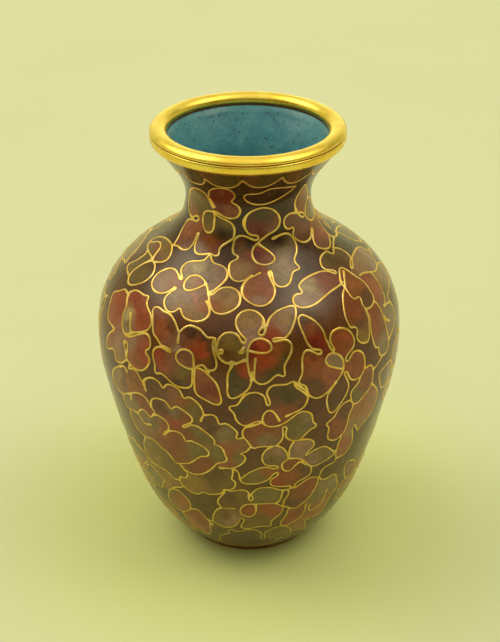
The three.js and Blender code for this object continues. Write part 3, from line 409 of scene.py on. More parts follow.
5.4,-18.42 3.06,-18.63 1.64,-19.21 0.69,-18.34 -0.24,-16.55 -1.17,-14.81 -2.08,-13.52
-2.45,-11.66 -2.14,-9.82 -1.05,-8.44 0.56,-7.93
o 4.52,-6.17 3.55,-6.93 2.16,-7.51 0.56,-7.93
LR
o 16.53,-17.21 16.06,-18.56 15.32,-20.08 14.98,-22.23 15.14,-24.43 15.03,-26.56 14.22,-27.46
12.96,-28.63 12.61,-30.69 13.5,-32.99 15.03,-34.21 16.49,-33.8 17.57,-32.4 18.6,-31.03
19.74,-29.96 20.85,-30.09
o 18.2,-17.38 20.46,-17.6 22.52,-18.25 24.11,-19.58 24.94,-21.53 24.6,-23.15 23.59,-24.17
22.57,-25.37 21.83,-26.93 23.14,-26.59 24.35,-25.45 25.76,-25.03 27.58,-24.7 29.51,-24.73
31.41,-25.91 33.52,-28.2 35.55,-30.77 35.71,-32.37 34.16,-33.23 31.84,-33.99 29.54,-34.6
27.28,-35.11 25.35,-34.5 23.55,-32.4 21.88,-30.2 20.06,-28.31 17.94,-27.27 16.26,-26.92
15.03,-26.56
o 20.85,-30.09 22.18,-31.97 24.12,-33.41 25.45,-35.14 25.96,-37.96 25.37,-39.85 23.87,-41.04
21.38,-41.91 19.93,-42.98 19.16,-44.58 19.43,-46.15 18.21,-45.75 16.88,-44.06
o 9.86,-18.44 11.02,-19.21 12.16,-20.11 13.57,-21.97 14.34,-24.13 15.03,-26.56
o 8.02,-18.71 6.51,-20.03 5.26,-21.86 4.75,-24.38 5.23,-27.22 6.48,-29.04 8.29,-29.69
10.02,-29.84 11.19,-30.82 10.35,-31.51 8.51,-31.09 6.75,-30.32 4.84,-30.24 2.64,-31.11
0.66,-32.5 -1.19,-34.15 -2.73,-36.06 -3.8,-37.63 -3.11,-39.13 -1.62,-40.06 0.42,-40.24
3.36,-40.1 5.67,-39.13 7.39,-37.99 8.44,-36.81 9.1,-35.4 10.1,-34.27 11.05,-34.01 11.45,-35.26
10.63,-36.54 9.53,-37.42 8.59,-38.42 8.53,-40.67 9.39,-42.19 11.16,-42.91 13.61,-43.65
16.88,-44.06
o -11.99,-31.04 -10.8,-31.19 -8.81,-30.95 -6.84,-30.71 -5.25,-29.91 -3.67,-28.68 -2.42,-27.17
-1.64,-25.36 -1.77,-23.56 -2.65,-22.64 -3.39,-22.28 -2.41,-21.64 -1.15,-20.9 -0.33,-19.71
0.33,-18.65 0.69,-18.34
o -6.84,-30.71 -5.46,-31.66 -4.34,-33.41 -4.08,-35.62 -3.8,-37.63
o -6.59,-30.44 -6.53,-32.98 -6.87,-35.49 -7.25,-37.67 -6.11,-38.7 -5.73,-40.68 -6.52,-43.07
-7.89,-44.44 -9.18,-44.89
BB
o -10.74,-45.15 -9.18,-44.89 -8.04,-45.82 -6.17,-44.92 -4.05,-44.33 -1.96,-44.51 -0.72,-45.51
-0.22,-47.51 0.55,-47.1 1.64,-45.34 3.42,-43.47 5.78,-42.95 8.18,-43.19 10.33,-44.02
12.36,-45.52 14.41,-46.08 16.43,-46.29 18.21,-45.75
o -0.22,-47.51 -0.41,-50.49 0.63,-52.1 1.41,-50.52 0.55,-47.1
o -10.74,-45.15 -11.02,-47.54 -12.6,-49.9 -13.93,-52.37 -14.35,-54.99 -13.68,-56.87 -12.93,-58.4
-11.02,-58.53 -8.7,-58.34 -6.58,-58.13
o -12.93,-58.4 -15.09,-60.23 -16.67,-63.15 -17.82,-66.44 -18.83,-72.24
o -10.21,-75.41 -7.6,-73.32 -5.63,-70.1 -4.92,-66.99 -3.68,-65.56 -2.71,-67.1 -3.36,-69.99
-4.23,-72.5 -4.06,-74.96 -2.14,-75.7 0.42,-75.45 3.11,-74.31 5.11,-73.59 7.67,-73.89
10.88,-74.3 10.53,-71.21 11.01,-68.88 12.85,-66.47 14.43,-64.32 15.29,-61.18 15.13,-58.5
13.77,-56.96 11.65,-55.3 8.39,-54.59 5.16,-54.38 2.63,-54.4 -0.2,-54.24 -2.12,-54.94
-3.73,-56.93 -4.43,-59.5 -3.86,-62.07 -2.26,-63.84 -0.25,-64.32 1.68,-63.17 2.68,-61.06
2.8,-57.24 2.63,-54.4
o 14.41,-46.08 13.97,-48.8 13.77,-51.89 12.71,-54.05 11.65,-55.3
o 16.43,-46.29 17.09,-49.4 16.26,-51.71 15.46,-53.52 15.24,-56.68 15.13,-58.5
BR
o 14.98,-57.91 16.51,-58.92 18.58,-60.5 20.91,-61.87 23.03,-61.39 24.9,-59.54 26.61,-57.95
28.16,-55.86 29.38,-52.83 30.44,-48.62 30.53,-43.47
o 27.13,-60.84 27.29,-62.51 27.43,-66.31 26.78,-69.73 25.43,-72.82 22.87,-74.14 20.72,-75.54
18.95,-76.96 16.33,-75.43 15.6,-72.12 16.72,-68.84 17.82,-65.35 17.99,-62.56 18.58,-60.5
o 29.88,-62.83 29.61,-65.46 31.05,-68.94 32.11,-68.88
o 35.37,-47.18 37.61,-46.47 39.27,-46.39 41.29,-48.41 42.23,-50.88 44.98,-56.87 45.07,-60.36
43.09,-63.22 42.02,-67 41.34,-71.08 40.17,-77.28 35.91,-77.45 33.62,-77.75 30.76,-76.71
32.02,-83.99 35.93,-91.76
o 35.37,-47.18 32.84,-46.48 30.53,-43.47
o 37.93,-55.88 37.75,-62.21 37.03,-66.39 35.38,-68.51 32.11,-68.88
BD
o -19.61,-98.53 -18.28,-91.99 -16.48,-87.51 -13.49,-84.29 -11.16,-82.14 -11.12,-78.42
-8.89,-77.89 -7.13,-79.19 -4.08,-78.54 -1.44,-77.11 2.66,-77.45 4.69,-79.06 6.21,-81.81
6.79,-89.55 8.47,-90.01 7.95,-81.77 9.53,-79.05 11.61,-77.19 14.2,-76.48 16.43,-76.22
19.51,-78 21.82,-81.18 23.62,-86.82 24.91,-93.76 22.16,-94.87 18.41,-95.04
o -19.61,-98.53 -14.95,-103.04 -8.18,-104.17 0.03,-104.52 8.3,-104.67 15.05,-103.14 18.41,-95.04
o 23.62,-86.82 27.13,-86.34 30.85,-87.59 35.93,-91.76
NC
N 19.86,83.84 17.41,84.53 14.5,86.67
PL
N -39.41,-1.54 -39.81,-3.52 -40.69,-5.06
BC
N 17.52,-2.86 17.64,-4.23
FX
N -51.04,3.47 -47.88,4.42
o -53.96,2.09 -57.91,-0.74 -60.96,-5.06 -60.08,-8.64 -57.08,-10.42 -53.9,-10.32
"""
# flower code, then u,v,colour of its enamel patches; the cream patches are partly painted
# highlights
SEEDS = """
NL -47.2,119.7,och -39.8,117,olv -48.2,106,olv -55.4,97.7,orn -55.4,77.4,terra -53.5,71,mau
-52.1,85,terra -21.8,98.6,olv -24,88.3,dbrn -33.7,80.2,rust -37.2,71,lil -27.1,74.4,rust
-21.8,127,dred -28.9,113.7,dred -15.2,110.1,rust -36.6,97.2,olv -35.8,89.2,och -75,76.7,orn
-31.7,87.6,brn
LO -78.5,53.8,rust -65.9,56.6,och -67,51.4,mau -75.9,46.1,olv -64.4,41.1,olv -78.2,50.1,olv
-64.4,45.5,brn
CL -49.3,40.5,lil -47.6,45.2,tan -43,45.2,orn -32.9,58.4,cream -25.7,60.3,gry -16.9,57.7,lil
-17.7,53.6,lil -39.3,56.3,tan -32.4,47.6,tan -27.5,49,pink -29.1,38.8,lil -24.1,39.5,pink
-31.3,35.6,tan -22,33.2,gry -19.9,37.3,orn -37.3,36.3,gry -37.4,44.2,orn -10.7,47.1,tan
-14,38.2,orn -8,41.8,tan -10.6,37.1,och -25.5,35.2,tan
CF -39.6,26.7,rust -34.8,24,terra -36.5,21.1,rust -31.8,20.9,mau -32.7,26.3,brn -34.6,14,red
-32,11.8,red -29.7,10.6,terra -28,9.2,brn -24.7,7.7,dbrn -21.6,7.7,brn -23.7,10.2,olv
-27.5,17.9,lil -28.1,14.4,mau -24.4,16.7,mau -22.2,15,mau -23.4,25.3,dbrn -24.3,22.4,mau
-20.6,22.4,rust -17,19.2,red -19.1,20.4,red -15.2,20.6,brn -13.4,17.2,dbrn -17.1,25.3,dbrn
-15.5,16.2,brn -16.6,10.5,orn -15.4,7.3,dred -13.2,5,dred -12.2,2.7,orn -17.9,5.4,rust
FX -52.4,-2.6,brn -49.3,-3.2,orn -55.7,-1.3,tan
FL -65.2,21.7,red -64.4,18.5,red -56.1,30.1,red -51.8,27.3,red -48.6,24.1,red -55,22.2,cream
-54.2,19.1,gry -41.7,11.2,red -46.8,13.6,lil -43.4,8.2,orn -43.2,13.3,red -56.1,10.5,lil
-62.1,10,terra -53.4,6.1,tan -51.7,9.8,lil
NC 11.9,106.3,dolv 9.1,93.6,dred 20.7,93.1,mau -0.4,82,dbrn -5.9,78.7,brn 5.5,73.2,dred
12.5,70.4,rust 25.2,80.2,dbrn 27.9,72.4,gry 24.3,62.5,tan 19.3,53.8,gry 31.1,66.1,brn
9.6,59.8,rust 5.3,48,terra 4.8,42,lil 0.1,51.2,orn -4.3,63,tan 0.3,71.8,rust 1.7,48.2,orn
11.2,48.1,terra
LT 18.7,127.4,dbrn 7.7,124.1,dbrn
NR 71.9,92.3,och 55.1,111.9,orn 41.6,96.3,mau 51.6,83.8,mau 51.3,75.8,brn 69.3,70.1,terra
64.2,63.3,mau 76.2,79.5,orn
RG 81,52,dolv 105.3,45.1,olv 79.8,57.2,dolv 102.3,52.3,olv
RF 58.8,54.7,olv 59.4,49.5,brn 81.5,39.3,tan 82.4,35.4,lil 43.7,46.4,rust 44.5,42.2,rust
30.6,45.4,cream 29.3,41.1,lil 52.5,42.9,rust 57.4,36,orn 59,27.6,brn 58.6,41.7,orn 48,25.7,rust
46.7,17,och 48.7,30,rust 66,28,terra 79,26.9,tan 57.3,15.1,rust 58.4,10.1,gry 58.2,21.9,rust
47.5,21.1,brn 69.7,16.1,gry 76.6,22.5,olv
MF 0,32.2,tan -1.2,35.3,och 1.2,27.7,lil 14.3,34.3,tan 13,29.7,lil 16.9,28.3,gry 9.8,27.2,red
4.5,22.6,red 2.2,22.3,dred 1.8,17.9,red 0.7,15.4,rust 9.1,19.7,rust 8.7,12.5,dolv 5.7,17.4,red
12.9,16.7,dolv -6.7,21.9,olv -7.3,19.5,brn -3.5,9.9,dolv -5.3,12.8,dolv -1.4,14,red
0.6,17.9,dred 8.4,25,red
RQ 24.3,26.9,rust 23.3,29.6,brn 25.7,21.1,dred 37,19.4,rust 38.5,16.6,rust 41.2,8.3,rust
31.7,13.1,gry 30.6,14.2,lil 23.3,12,rust 23.7,5.4,brn 29.8,7.6,terra 32.7,-0.2,brn 26.6,17.5,red
RL 46,-2,rust 43,-4.1,gg 49,-13.7,orn 34.9,-14.8,rust 38.2,-9.6,brn 40.9,-28.5,terra
43.3,-22.7,tan
BC -1.1,-0.6,dolv -0.1,-4,brn 12.7,2.9,dolv 12.4,-2.4,rust 1.6,-0.2,brn 1.6,-5.3,rust
7.5,-5.3,rust 4.4,-11,rust 5.2,-15.6,gry 2,-12.4,rust 17.8,-10.7,gg 15.8,-7,olv 19.9,-7.5,gry
LR 9.3,-25.2,olv 10.7,-23.7,lil 19.3,-23,lil 28.5,-28.6,olv 25.3,-30.7,lil 16,-31.2,rust
18.3,-38.1,rust 22,-36.2,brn 10.8,-40,red 2.5,-35.2,gg 6.8,-33.1,orn 0.1,-36.4,olv
BR 38.3,-39.4,orn 33,-39.7,orn 44.6,-40.7,gg 23,-50.4,rust 18.8,-55.3,brn 30.6,-53.9,gg
35.9,-52.5,gry 38.6,-68.8,orn 22.6,-68.2,rust 40.5,-35.3,orn 38,-49.7,gry
BB 8.7,-48.4,gg -4.2,-49.2,olv -6.8,-49.4,brn -0.5,-59.6,rust 8.8,-59.6,rust 4.9,-67.5,olv
-11.4,-65.8,brn -15.5,-66.9,olv -8.7,-67.9,lil 1,-49.1,gg 13.8,-57.6,terra
BD -4.5,-88.3,dolv -14.7,-89.7,brn 16.6,-82.1,olv
PL -36.4,1.7,brn -27.9,0.5,mau -24.3,-0.2,orn -20.3,-2.9,olv -42.1,-6.8,rust -51.3,-11.5,gry
-32.9,-5.6,brn -27.1,-6.6,gry -27.6,-10.5,red -23,-9,rust -38.9,-16.3,gry -18.8,-14.2,gg
-23.6,-15.1,rust -29.3,-22.4,rust -19.7,-23.4,gg -13.3,-10.6,brn -9.1,-12.3,gry -8,-21,terra
-40.2,-34,olv -32.9,-24.5,rust -17.5,-29,rust -13.2,-35.9,brn -26.1,-44.5,och -9.2,-38.3,olv
-7.4,-24.8,terra -4.7,-24.6,gg -12.2,-23.3,gg -39.7,-36,och -38.2,-45.2,och -34.1,-18.6,orn
BL -35,-59.5,orn -27.4,-71,rust -35.9,-77.5,orn -38.3,-56.3,olv -36.1,-37.2,olv
"""
# centres (u, v) of the flowers that are copied to the sides
CENTRES = {
    "CF": (-26.7, 16.09), "LR": (11.91, -31.7), "RQ": (31.6, 12.51), "BB": (-0.31, -59.34),
    "MF": (4.6, 20.92), "BC": (8.82, -5.15), "CL": (-29.69, 49.79), "LO": (-73.48, 48),
    "LT": (17.39, 126.41),
}
# side copies: flower, turn in degrees, new centre (u, v), size
COPIES = [
    ("CF", 191.1, -52.4, -81.5, 1), ("LR", 164, 78.1, -9, 1), ("RQ", 12.8, 60.58, -61.92, 1),
    ("BB", 19.2, -89.95, 1.24, 1), ("MF", 34.6, -80.7, -85.18, 1), ("BC", 2.6, -89.59, -31.19, 1),
    ("CL", -1.6, 97.52, -38.08, 1), ("RQ", 27.2, -117.99, -58.71, 1),
    ("LR", 185.6, 83.06, -89.01, 1), ("CF", 18.6, 119.16, -73.05, 1),
    ("BC", -11.6, -128.7, -91.49, 1), ("BC", 23.2, -58.56, -51.31, 1),
    ("CF", 104.3, 96.92, 78.45, 0.72), ("BC", 198.7, 132.08, -97.75, 0.72),
    ("LO", 284.6, 97.97, 12.02, 0.72), ("CF", 83, -91.36, -62.23, 0.6),
    ("BB", 38.7, -117.59, -31.55, 0.6), ("BC", 144.5, 86.91, -66.85, 0.6),
    ("LT", 5.6, 133.61, -52.78, 0.5), ("LO", 114.1, -114.75, -4.1, 0.5),
    ("MF", 160.1, 109.66, -6.53, 0.5), ("BC", 70.2, -104.42, -98.92, 0.5),
    ("LT", 322.5, 115.62, 55.91, 0.5), ("LT", 59.8, 109.96, -97.65, 0.55),
]
# 0-255 sRGB; a leading d is dark, gg is grey green; cream is partly pale enamel and partly a
# painted highlight, set where a reflection lies on the glass
PALETTE = {
    "red": (134, 55, 31), "dred": (104, 32, 18), "rust": (124, 64, 34), "orn": (136, 80, 42),
    "brn": (90, 56, 30), "dbrn": (56, 34, 22), "olv": (102, 82, 38), "dolv": (72, 58, 26),
    "och": (128, 98, 48), "tan": (138, 106, 76), "lil": (134, 104, 98), "mau": (116, 74, 64),
    "gry": (120, 100, 80), "terra": (138, 76, 56), "pink": (148, 98, 86),
    "cream": (160, 142, 112), "gg": (108, 94, 58),
}
PALETTE_GAIN = (1.20, 1.10, 0.86)
# the colour that may take another's place in a copied flower
KIN = {"red": "rust", "rust": "terra", "orn": "rust", "olv": "brn", "lil": "gry", "tan": "lil",
       "gry": "olv", "terra": "orn", "dred": "red", "brn": "dolv"}
# flowers without a name here are leaf sprays
NAMES = {
    "NL": "neck_blossom_left", "NC": "bell_blossom", "NR": "neck_blossom_right",
    "LO": "shoulder_bud", "FL": "side_blossom", "CL": "lilac_blossom", "CF": "star_blossom",
    "MF": "centre_blossom", "RF": "shoulder_blossom", "RQ": "red_blossom", "PL": "peony",
    "BC": "lower_blossom", "LR": "low_blossom", "BB": "foot_blossom", "RG": "shoulder_blossom",
    "FX": "side_blossom",
}
OWN_BACK_PIECE = {"NL", "NC", "CL", "RF", "PL", "LR", "BB"}


def linear(srgb):
    c = np.asarray(srgb, float) / 255
    return np.where(c <= 0.04045, c / 12.92, ((c + 0.055) / 1.055) ** 2.4)


ENAMEL = {name: linear(srgb) * PALETTE_GAIN for name, srgb in PALETTE.items()}

drawn_wires = []         # (flower, kind, points)
for word in WIRES.split():
    if "," in word:
        drawn_wires[-1][2].append([float(x) for x in word.split(",")])
    elif len(word) == 1:
        drawn_wires.append((flower, word, []))
    else:
        flower = word
drawn_wires = [(flower, kind, np.array(points)) for flower, kind, points in drawn_wires]
drawn_seeds = []         # (flower, u, v, colour name)
for word in SEEDS.split():
    if "," in word:
        u, v, colour = word.split(",")
        drawn_seeds.append((flower, float(u), float(v), colour))
    else:
        flower = word

lines = []               # (owner, kind, points)
seeds = []               # (owner, u, v, rgb)


def place(flowers, owner_of, move, restless=0.0):
    """lay moved flowers down; restless is the chance that a patch changes colour"""
    for flower, kind, points in drawn_wires:
        if flower in flowers:
            lines.append((owner_of(flower), kind, move(points)))
    for flower, u, v, colour in drawn_seeds:
        if flower in flowers:
            if restless and random.rand() < restless:
                colour = KIN.get(colour, colour)
            moved = move(np.array([[u, v]]))[0]
            seeds.append((owner_of(flower), moved[0], moved[1], ENAMEL[colour]))


def front_owner(flower):
    return NAMES[flower] + "_front" if flower in NAMES else "leaf_sprays"


def back_owner(flower):
    if flower in OWN_BACK_PIECE:
        return NAMES[flower] + "_back"
    return "back_blossoms" if flower in NAMES else "leaf_sprays_back"


every_flower = {flower for flower, _, _ in drawn_wires} - {"COL"}
place(every_flower, front_owner, lambda p: p)
place(every_flower - {"LO", "RG"}, back_owner, lambda p: p + [180, 0], restless=0.3)
for flower, turn, new_u, new_v, size in COPIES:
    cos, sin = math.cos(math.radians(turn)), math.sin(math.radians(turn))
    rotation = np.array([[cos, sin], [-sin, cos]])
    place({flower}, lambda _: "side_blossoms",
          lambda p: (p - CENTRES[flower]) @ rotation * size + [new_u, new_v], restless=0.35)

# collar: the arcs drawn at the front, then even arcs on round the neck
COLLAR_DRAWN = (-52, 46)      # u range of the drawn arcs
COLLAR_ARCS = 10
COLLAR_V, COLLAR_SAG = 146.4, 9
lines += [("collar", "o", points) for flower, _, points in drawn_wires if flower == "COL"]
for k in range(COLLAR_ARCS):
    t = np.linspace(0, 1, 9)
    arc_width = (360 + COLLAR_DRAWN[0] - COLLAR_DRAWN[1]) / COLLAR_ARCS
    sag = COLLAR_SAG + random.uniform(-0.8, 0.8)
    arc = np.stack([COLLAR_DRAWN[1] + (k + t) * arc_width,
                    COLLAR_V - sag * np.sin(np.pi * t) ** 0.62], 1)
    # the outer ends meet the drawn arcs
    arc[0, 1] = 146.6 if k == 0 else COLLAR_V
    arc[-1, 1] = 145.8 if k == COLLAR_ARCS - 1 else COLLAR_V
    lines.append(("collar", "o", arc))
for k in range(36):
    seeds.append(("collar", k * 10.0 - 178, 151.0, ENAMEL["dolv" if k % 3 else "brn"]))


def smooth(p, closed, steps=5):
    """centripetal Catmull-Rom through the points"""
    count = len(p)
    if count < 3 and not closed:
        return p
    out = []
    for i in range(count if closed else count - 1):
        if closed:
            p0, p1, p2, p3 = (p[(i + k) % count] for k in (-1, 0, 1, 2))
        else:
            p1, p2 = p[i], p[i + 1]
            p0 = p[i - 1] if i > 0 else 2 * p1 - p2
            p3 = p[i + 2] if i + 2 < count else 2 * p2 - p1
        d1, d2, d3 = (max(np.linalg.norm(b - a), 1e-6) ** 0.5
                      for a, b in ((p0, p1), (p1, p2), (p2, p3)))
        m1 = (p2 - p1) + d2 * ((p1 - p0) / d1 - (p2 - p0) / (d1 + d2))
        m2 = (p2 - p1) + d2 * ((p3 - p2) / d3 - (p3 - p1) / (d2 + d3))
        for t in np.arange(steps) / steps:
            t2, t3 = t * t, t * t * t
            out.append((2 * t3 - 3 * t2 + 1) * p1 + (t3 - 2 * t2 + t) * m1
                       + (-2 * t3 + 3 * t2) * p2 + (t3 - t2) * m2)
    out.append(out[0] if closed else p[-1])
    return np.array(out)


def resample(p, step):
    """even points along a (u, v) line, step in mm on the surface"""
    lengths = np.hypot(*np.diff(p, axis=0).T) * scale_at((p[1:, 1] + p[:-1, 1]) / 2)
    s = np.concatenate([[0], np.cumsum(lengths)])
    t = np.linspace(0, s[-1], max(2, int(math.ceil(s[-1] / step)) + 1))
    return np.stack([np.interp(t, s, p[:, 0]), np.interp(t, s, p[:, 1])], 1)


# ------------------------------------------------------------------ triangles between the wires
U_LOW, U_HIGH = -180.0, 180.0
V_LOW, V_HIGH = (float(np.interp(z, table_z, table_v)) for z in (1.62, 97.75))
STEP = 0.62     # triangle size
LINE_STEP = 0.42
WIRE_CLEARANCE = 0.30                      # free points keep this far from the wires
JITTER = 0.12                              # of a step

wire_paths = []          # (owner, closed, points)
coords, edges = [], []


def add_path(points):
    first = len(coords)
    coords.extend(map(tuple, points))
    edges.extend((first + i, first + i + 1) for i in range(len(points) - 1))


def point_tree(points):
    tree = kdtree.KDTree(len(points))
    for i, (u, v) in enumerate(points):
        tree.insert((u, v, 0), i)
    tree.balance()
    return tree


for owner, kind, points in lines:
    path = resample(points if kind == "N" else smooth(points, kind == "C"), LINE_STEP)
    if kind != "N":
        wire_paths.append((owner, kind == "C", path))
    for shift in (-360.0, 0.0, 360.0):
        p = path + [shift, 0]
        inside = ((p[:, 0] > U_LOW - 1.5) & (p[:, 0] < U_HIGH + 1.5)
                  & (p[:, 1] > V_LOW + 0.3) & (p[:, 1] < V_HIGH - 0.3))
        for run in np.split(np.arange(len(p)), np.nonzero(np.diff(inside))[0] + 1):
            if inside[run[0]] and len(run) > 1:
                add_path(p[run])
wire_edge_count = len(edges)
wire_tree = point_tree(np.array(coords))

rows, v = [], V_LOW
while v < V_HIGH:
    rows.append(v)
    v += STEP * 0.866 / float(scale_at(v))
rows[-1] = V_HIGH
for j, v in enumerate(rows):
    scale = float(scale_at(v))
    count = int(round(360 * scale / STEP))
    if j in (0, len(rows) - 1):
        across = U_LOW + np.arange(count + 1) * 360 / count
        add_path(np.stack([across, np.full(count + 1, v)], 1))
        continue
    across = U_LOW + (np.arange(count) + (0.5 if j % 2 else 0.0)) * 360 / count
    margin = 0.25 * 360 / count
    across = across[(across > U_LOW + margin) & (across < U_HIGH - margin)]
    jitter = random.uniform(-JITTER, JITTER, (len(across), 2)) * STEP / scale
    for u, (du, dv) in zip(across, jitter):
        if wire_tree.find((u + du, v + dv, 0))[2] > WIRE_CLEARANCE / scale:
            coords.append((u + du, v + dv))
for side in (U_LOW, U_HIGH):
    add_path(np.array([[side, v] for v in rows]))

cdt_points, cdt_edges, cdt_faces, _, edge_sources, _ = delaunay_2d_cdt(
    [Vector(c) for c in coords], edges, [], 0, 1e-5, True)
flat = np.array([tuple(c) for c in cdt_points])
triangles = np.array([f for f in cdt_faces if len(f) == 3])


def doubled_area(t):
    """signed, twice the area in square degrees"""
    return np.cross(flat[t[:, 1]] - flat[t[:, 0]], flat[t[:, 2]] - flat[t[:, 0]])


middle = flat[triangles].mean(1)
triangles = triangles[(middle[:, 0] > U_LOW) & (middle[:, 0] < U_HIGH)
                      & (middle[:, 1] > V_LOW) & (middle[:, 1] < V_HIGH)]
triangles = triangles[np.abs(doubled_area(triangles)) > 1e-9]
clockwise = doubled_area(triangles) < 0
triangles[clockwise] = triangles[clockwise][:, ::-1]

# weld the seam: right side points take the left side's number
left, right = (sorted(np.nonzero(np.abs(flat[:, 0] - side) < 2e-4)[0], key=lambda i: flat[i, 1])
               for side in (U_LOW, U_HIGH))
weld = np.arange(len(flat))
j = 0
for i in right:
    v = flat[i, 1]
    while j < len(left) - 1 and abs(flat[left[j + 1], 1] - v) <= abs(flat[left[j], 1] - v):
        j += 1
    if abs(flat[left[j], 1] - v) < 3e-3:
        weld[i] = left[j]
welded = weld[triangles]
# each corner keeps its own u, so the seam doesn't fold
corner_u, corner_v = flat[triangles][:, :, 0], flat[triangles][:, :, 1]
tri_count = len(triangles)

# ------------------------------------------------------------------ cells
NECK = 0.5               # a passage under this share of the smaller cell's half width is shut
NECK_MAX = 0.75          # but never one wider than this from its middle to a wire


def edge_keys(low, high):
    return low.astype(np.int64) * len(flat) + high


def wire_distance(points):
    return np.array([wire_tree.find((u, v, 0))[2] * scale_at(v) for u, v in points])


wall = np.sort([(weld[a], weld[b]) for (a, b), sources in zip(cdt_edges, edge_sources)
                if any(s < wire_edge_count for s in sources)], axis=1)
sides = np.sort(np.concatenate([welded[:, [0, 1]], welded[:, [1, 2]], welded[:, [2, 0]]]), axis=1)
keys = edge_keys(sides[:, 0], sides[:, 1])
order = np.argsort(keys, kind="stable")
keys, side_tri = keys[order], np.tile(np.arange(tri_count), 3)[order]
shared = np.nonzero(keys[1:] == keys[:-1])[0]
shared = shared[~np.isin(keys[shared], edge_keys(wall[:, 0], wall[:, 1]))]
low, high = keys[shared] // len(flat), keys[shared] % len(flat)
passage = (flat[low] + flat[high]) / 2
passage[np.abs(flat[low, 0] - flat[high, 0]) > 180, 0] = U_LOW
gap = wire_distance(passage)
tri_middle = flat[triangles].mean(1)
peak = wire_distance(tri_middle).tolist()
tri_tree = point_tree(tri_middle)


def tri_at(u, v):
    u = wrap(u)
    for _, i, _ in tri_tree.find_n((u, v, 0), 12):
        p = flat[triangles[i]]
        turns = [(p[(k + 1) % 3][0] - p[k][0]) * (v - p[k][1])
                 - (p[(k + 1) % 3][1] - p[k][1]) * (u - p[k][0]) for k in range(3)]
        if min(turns) >= -1e-6:
            return i
    return tri_tree.find((u, v, 0))[1]


# Flood from the middle of every cell outwards, widest passages first. A wire that
# stops short of its neighbour leaves a narrow neck, and cells don't join through it.
seed_tri = [tri_at(u, v) for _, u, v, _ in seeds]
parent = list(range(tri_count))
seeded = [False] * tri_count
for i in seed_tri:
    seeded[i] = True


def root(i):
    while parent[i] != i:
        parent[i] = parent[parent[i]]
        i = parent[i]
    return i


for k in np.argsort(-gap, kind="stable"):
    i, j = root(int(side_tri[shared[k]])), root(int(side_tri[shared[k] + 1]))
    width = float(gap[k])
    if i == j:
        continue
    if (seeded[i] or seeded[j]) and width < NECK * min(peak[i], peak[j]) and width < NECK_MAX:
        continue
    parent[j] = i
    peak[i] = max(peak[i], peak[j])
    seeded[i] = seeded[i] or seeded[j]
cells, region = np.unique([root(i) for i in range(tri_count)], return_inverse=True)
area_mm = 0.5 * np.abs(doubled_area(triangles)) * scale_at(tri_middle[:, 1]) ** 2
cell_area = np.bincount(region, area_mm)

# Colour seeds by cell. A cell far too big for its seeds is open ground and loses them.
BIGGEST_SHARE = 0.035    # of the whole surface
OPEN_AREA, OPEN_AREA_PER_SEED = 100, 60    # square mm
cell_seeds = {}
for (owner, u, v, colour), i in zip(seeds, seed_tri):
    c = int(region[i])
    if owner == "collar" or cell_area[c] <= BIGGEST_SHARE * area_mm.sum():
        cell_seeds.setdefault(c, []).append((owner, wrap(u), v, colour))
cell_seeds = {c: found for c, found in cell_seeds.items()
              if cell_area[c] <= OPEN_AREA or cell_area[c] / len(found) <= OPEN_AREA_PER_SEED
              or found[0][0] == "collar"}
cell_owner = {}
for c, found in cell_seeds.items():
    names = [seed[0] for seed in found]
    cell_owner[c] = max(set(names), key=names.count)
tri_owner = np.array([cell_owner.get(i, "ground") for i in range(len(cells))])[region]


# ------------------------------------------------------------------ colour of triangle corners
def wobble(u, v, frequency, seed):
    """smooth repeatable noise on the unrolled surface, periodic round the vase"""
    r = np.random.RandomState(seed)
    out = np.zeros_like(u)
    for k in range(6):
        f = frequency * (1.3**k)
        ku = max(1, round(f * 360 / (2 * math.pi) * r.uniform(0.4, 1))) * r.choice([-1, 1])
        kv = f * r.uniform(0.4, 1)
        out += np.sin(np.radians(u) * ku + v * kv + r.uniform(0, 6.28)) / (1 + 0.3 * k)
    return out / 3


# ground: three tones up the vase, mottled; the olive foot tone is partly a painted reflection of
# the yellow-green floor
GROUND_FOOT, GROUND_BELLY, GROUND_NECK = linear([(90, 66, 17), (92, 50, 18), (64, 36, 17)])
t = np.clip((corner_v + 75) / 65, 0, 1)[..., None]
rgb = GROUND_FOOT * (1 - t) + GROUND_BELLY * t
t = np.clip((corner_v - 35) / 50, 0, 1)[..., None]
rgb = rgb * (1 - t) + GROUND_NECK * t
rgb = rgb * (0.8 + 0.45 * (0.5 + 0.5 * wobble(corner_u, corner_v, 0.22, 9))[..., None])
# petals: the seeds of a cell run into each other along wavy borders
wavy_u = corner_u + 1.5 * wobble(corner_u, corner_v, 0.5, 3)
wavy_v = corner_v + 1.5 * wobble(corner_u, corner_v, 0.5, 4)
for c, found in cell_seeds.items():
    inside = np.nonzero(region == c)[0]
    seed_u, seed_v, seed_rgb = (np.array([seed[k] for seed in found]) for k in (1, 2, 3))
    du = wrap(wavy_u[inside][..., None] - seed_u)
    weight = 1 / (du**2 + (wavy_v[inside][..., None] - seed_v) ** 2 + 1.2) ** 1.7
    rgb[inside] = (weight[..., None] * seed_rgb).sum(-2) / weight.sum(-1)[..., None]
# enamel is a little darker where it meets a wire
to_wire = wire_distance(flat)
rgb *= 0.80 + 0.20 * np.clip(to_wire[triangles] / 0.7, 0, 1)[..., None]


# ------------------------------------------------------------------ mesh helpers
def new_mesh(name, verts, faces):
    mesh = bpy.data.meshes.new(name)
    verts = np.asarray(verts, np.float32)
    mesh.vertices.add(len(verts))
    mesh.vertices.foreach_set("co", verts.ravel())
    sizes = np.array([len(f) for f in faces], np.int32)
    corners = np.concatenate([np.asarray(f, np.int32) for f in faces])
    mesh.loops.add(len(corners))
    mesh.loops.foreach_set("vertex_index", corners)
    mesh.polygons.add(len(sizes))
    starts = np.concatenate([[0], np.cumsum(sizes)[:-1]]).astype(np.int32)
    mesh.polygons.foreach_set("loop_start", starts)
    mesh.polygons.foreach_set("loop_total", sizes)
    mesh.update(calc_edges=True)
    mesh.validate()
    mesh.polygons.foreach_set("use_smooth", np.full(len(mesh.polygons), True))
    return mesh


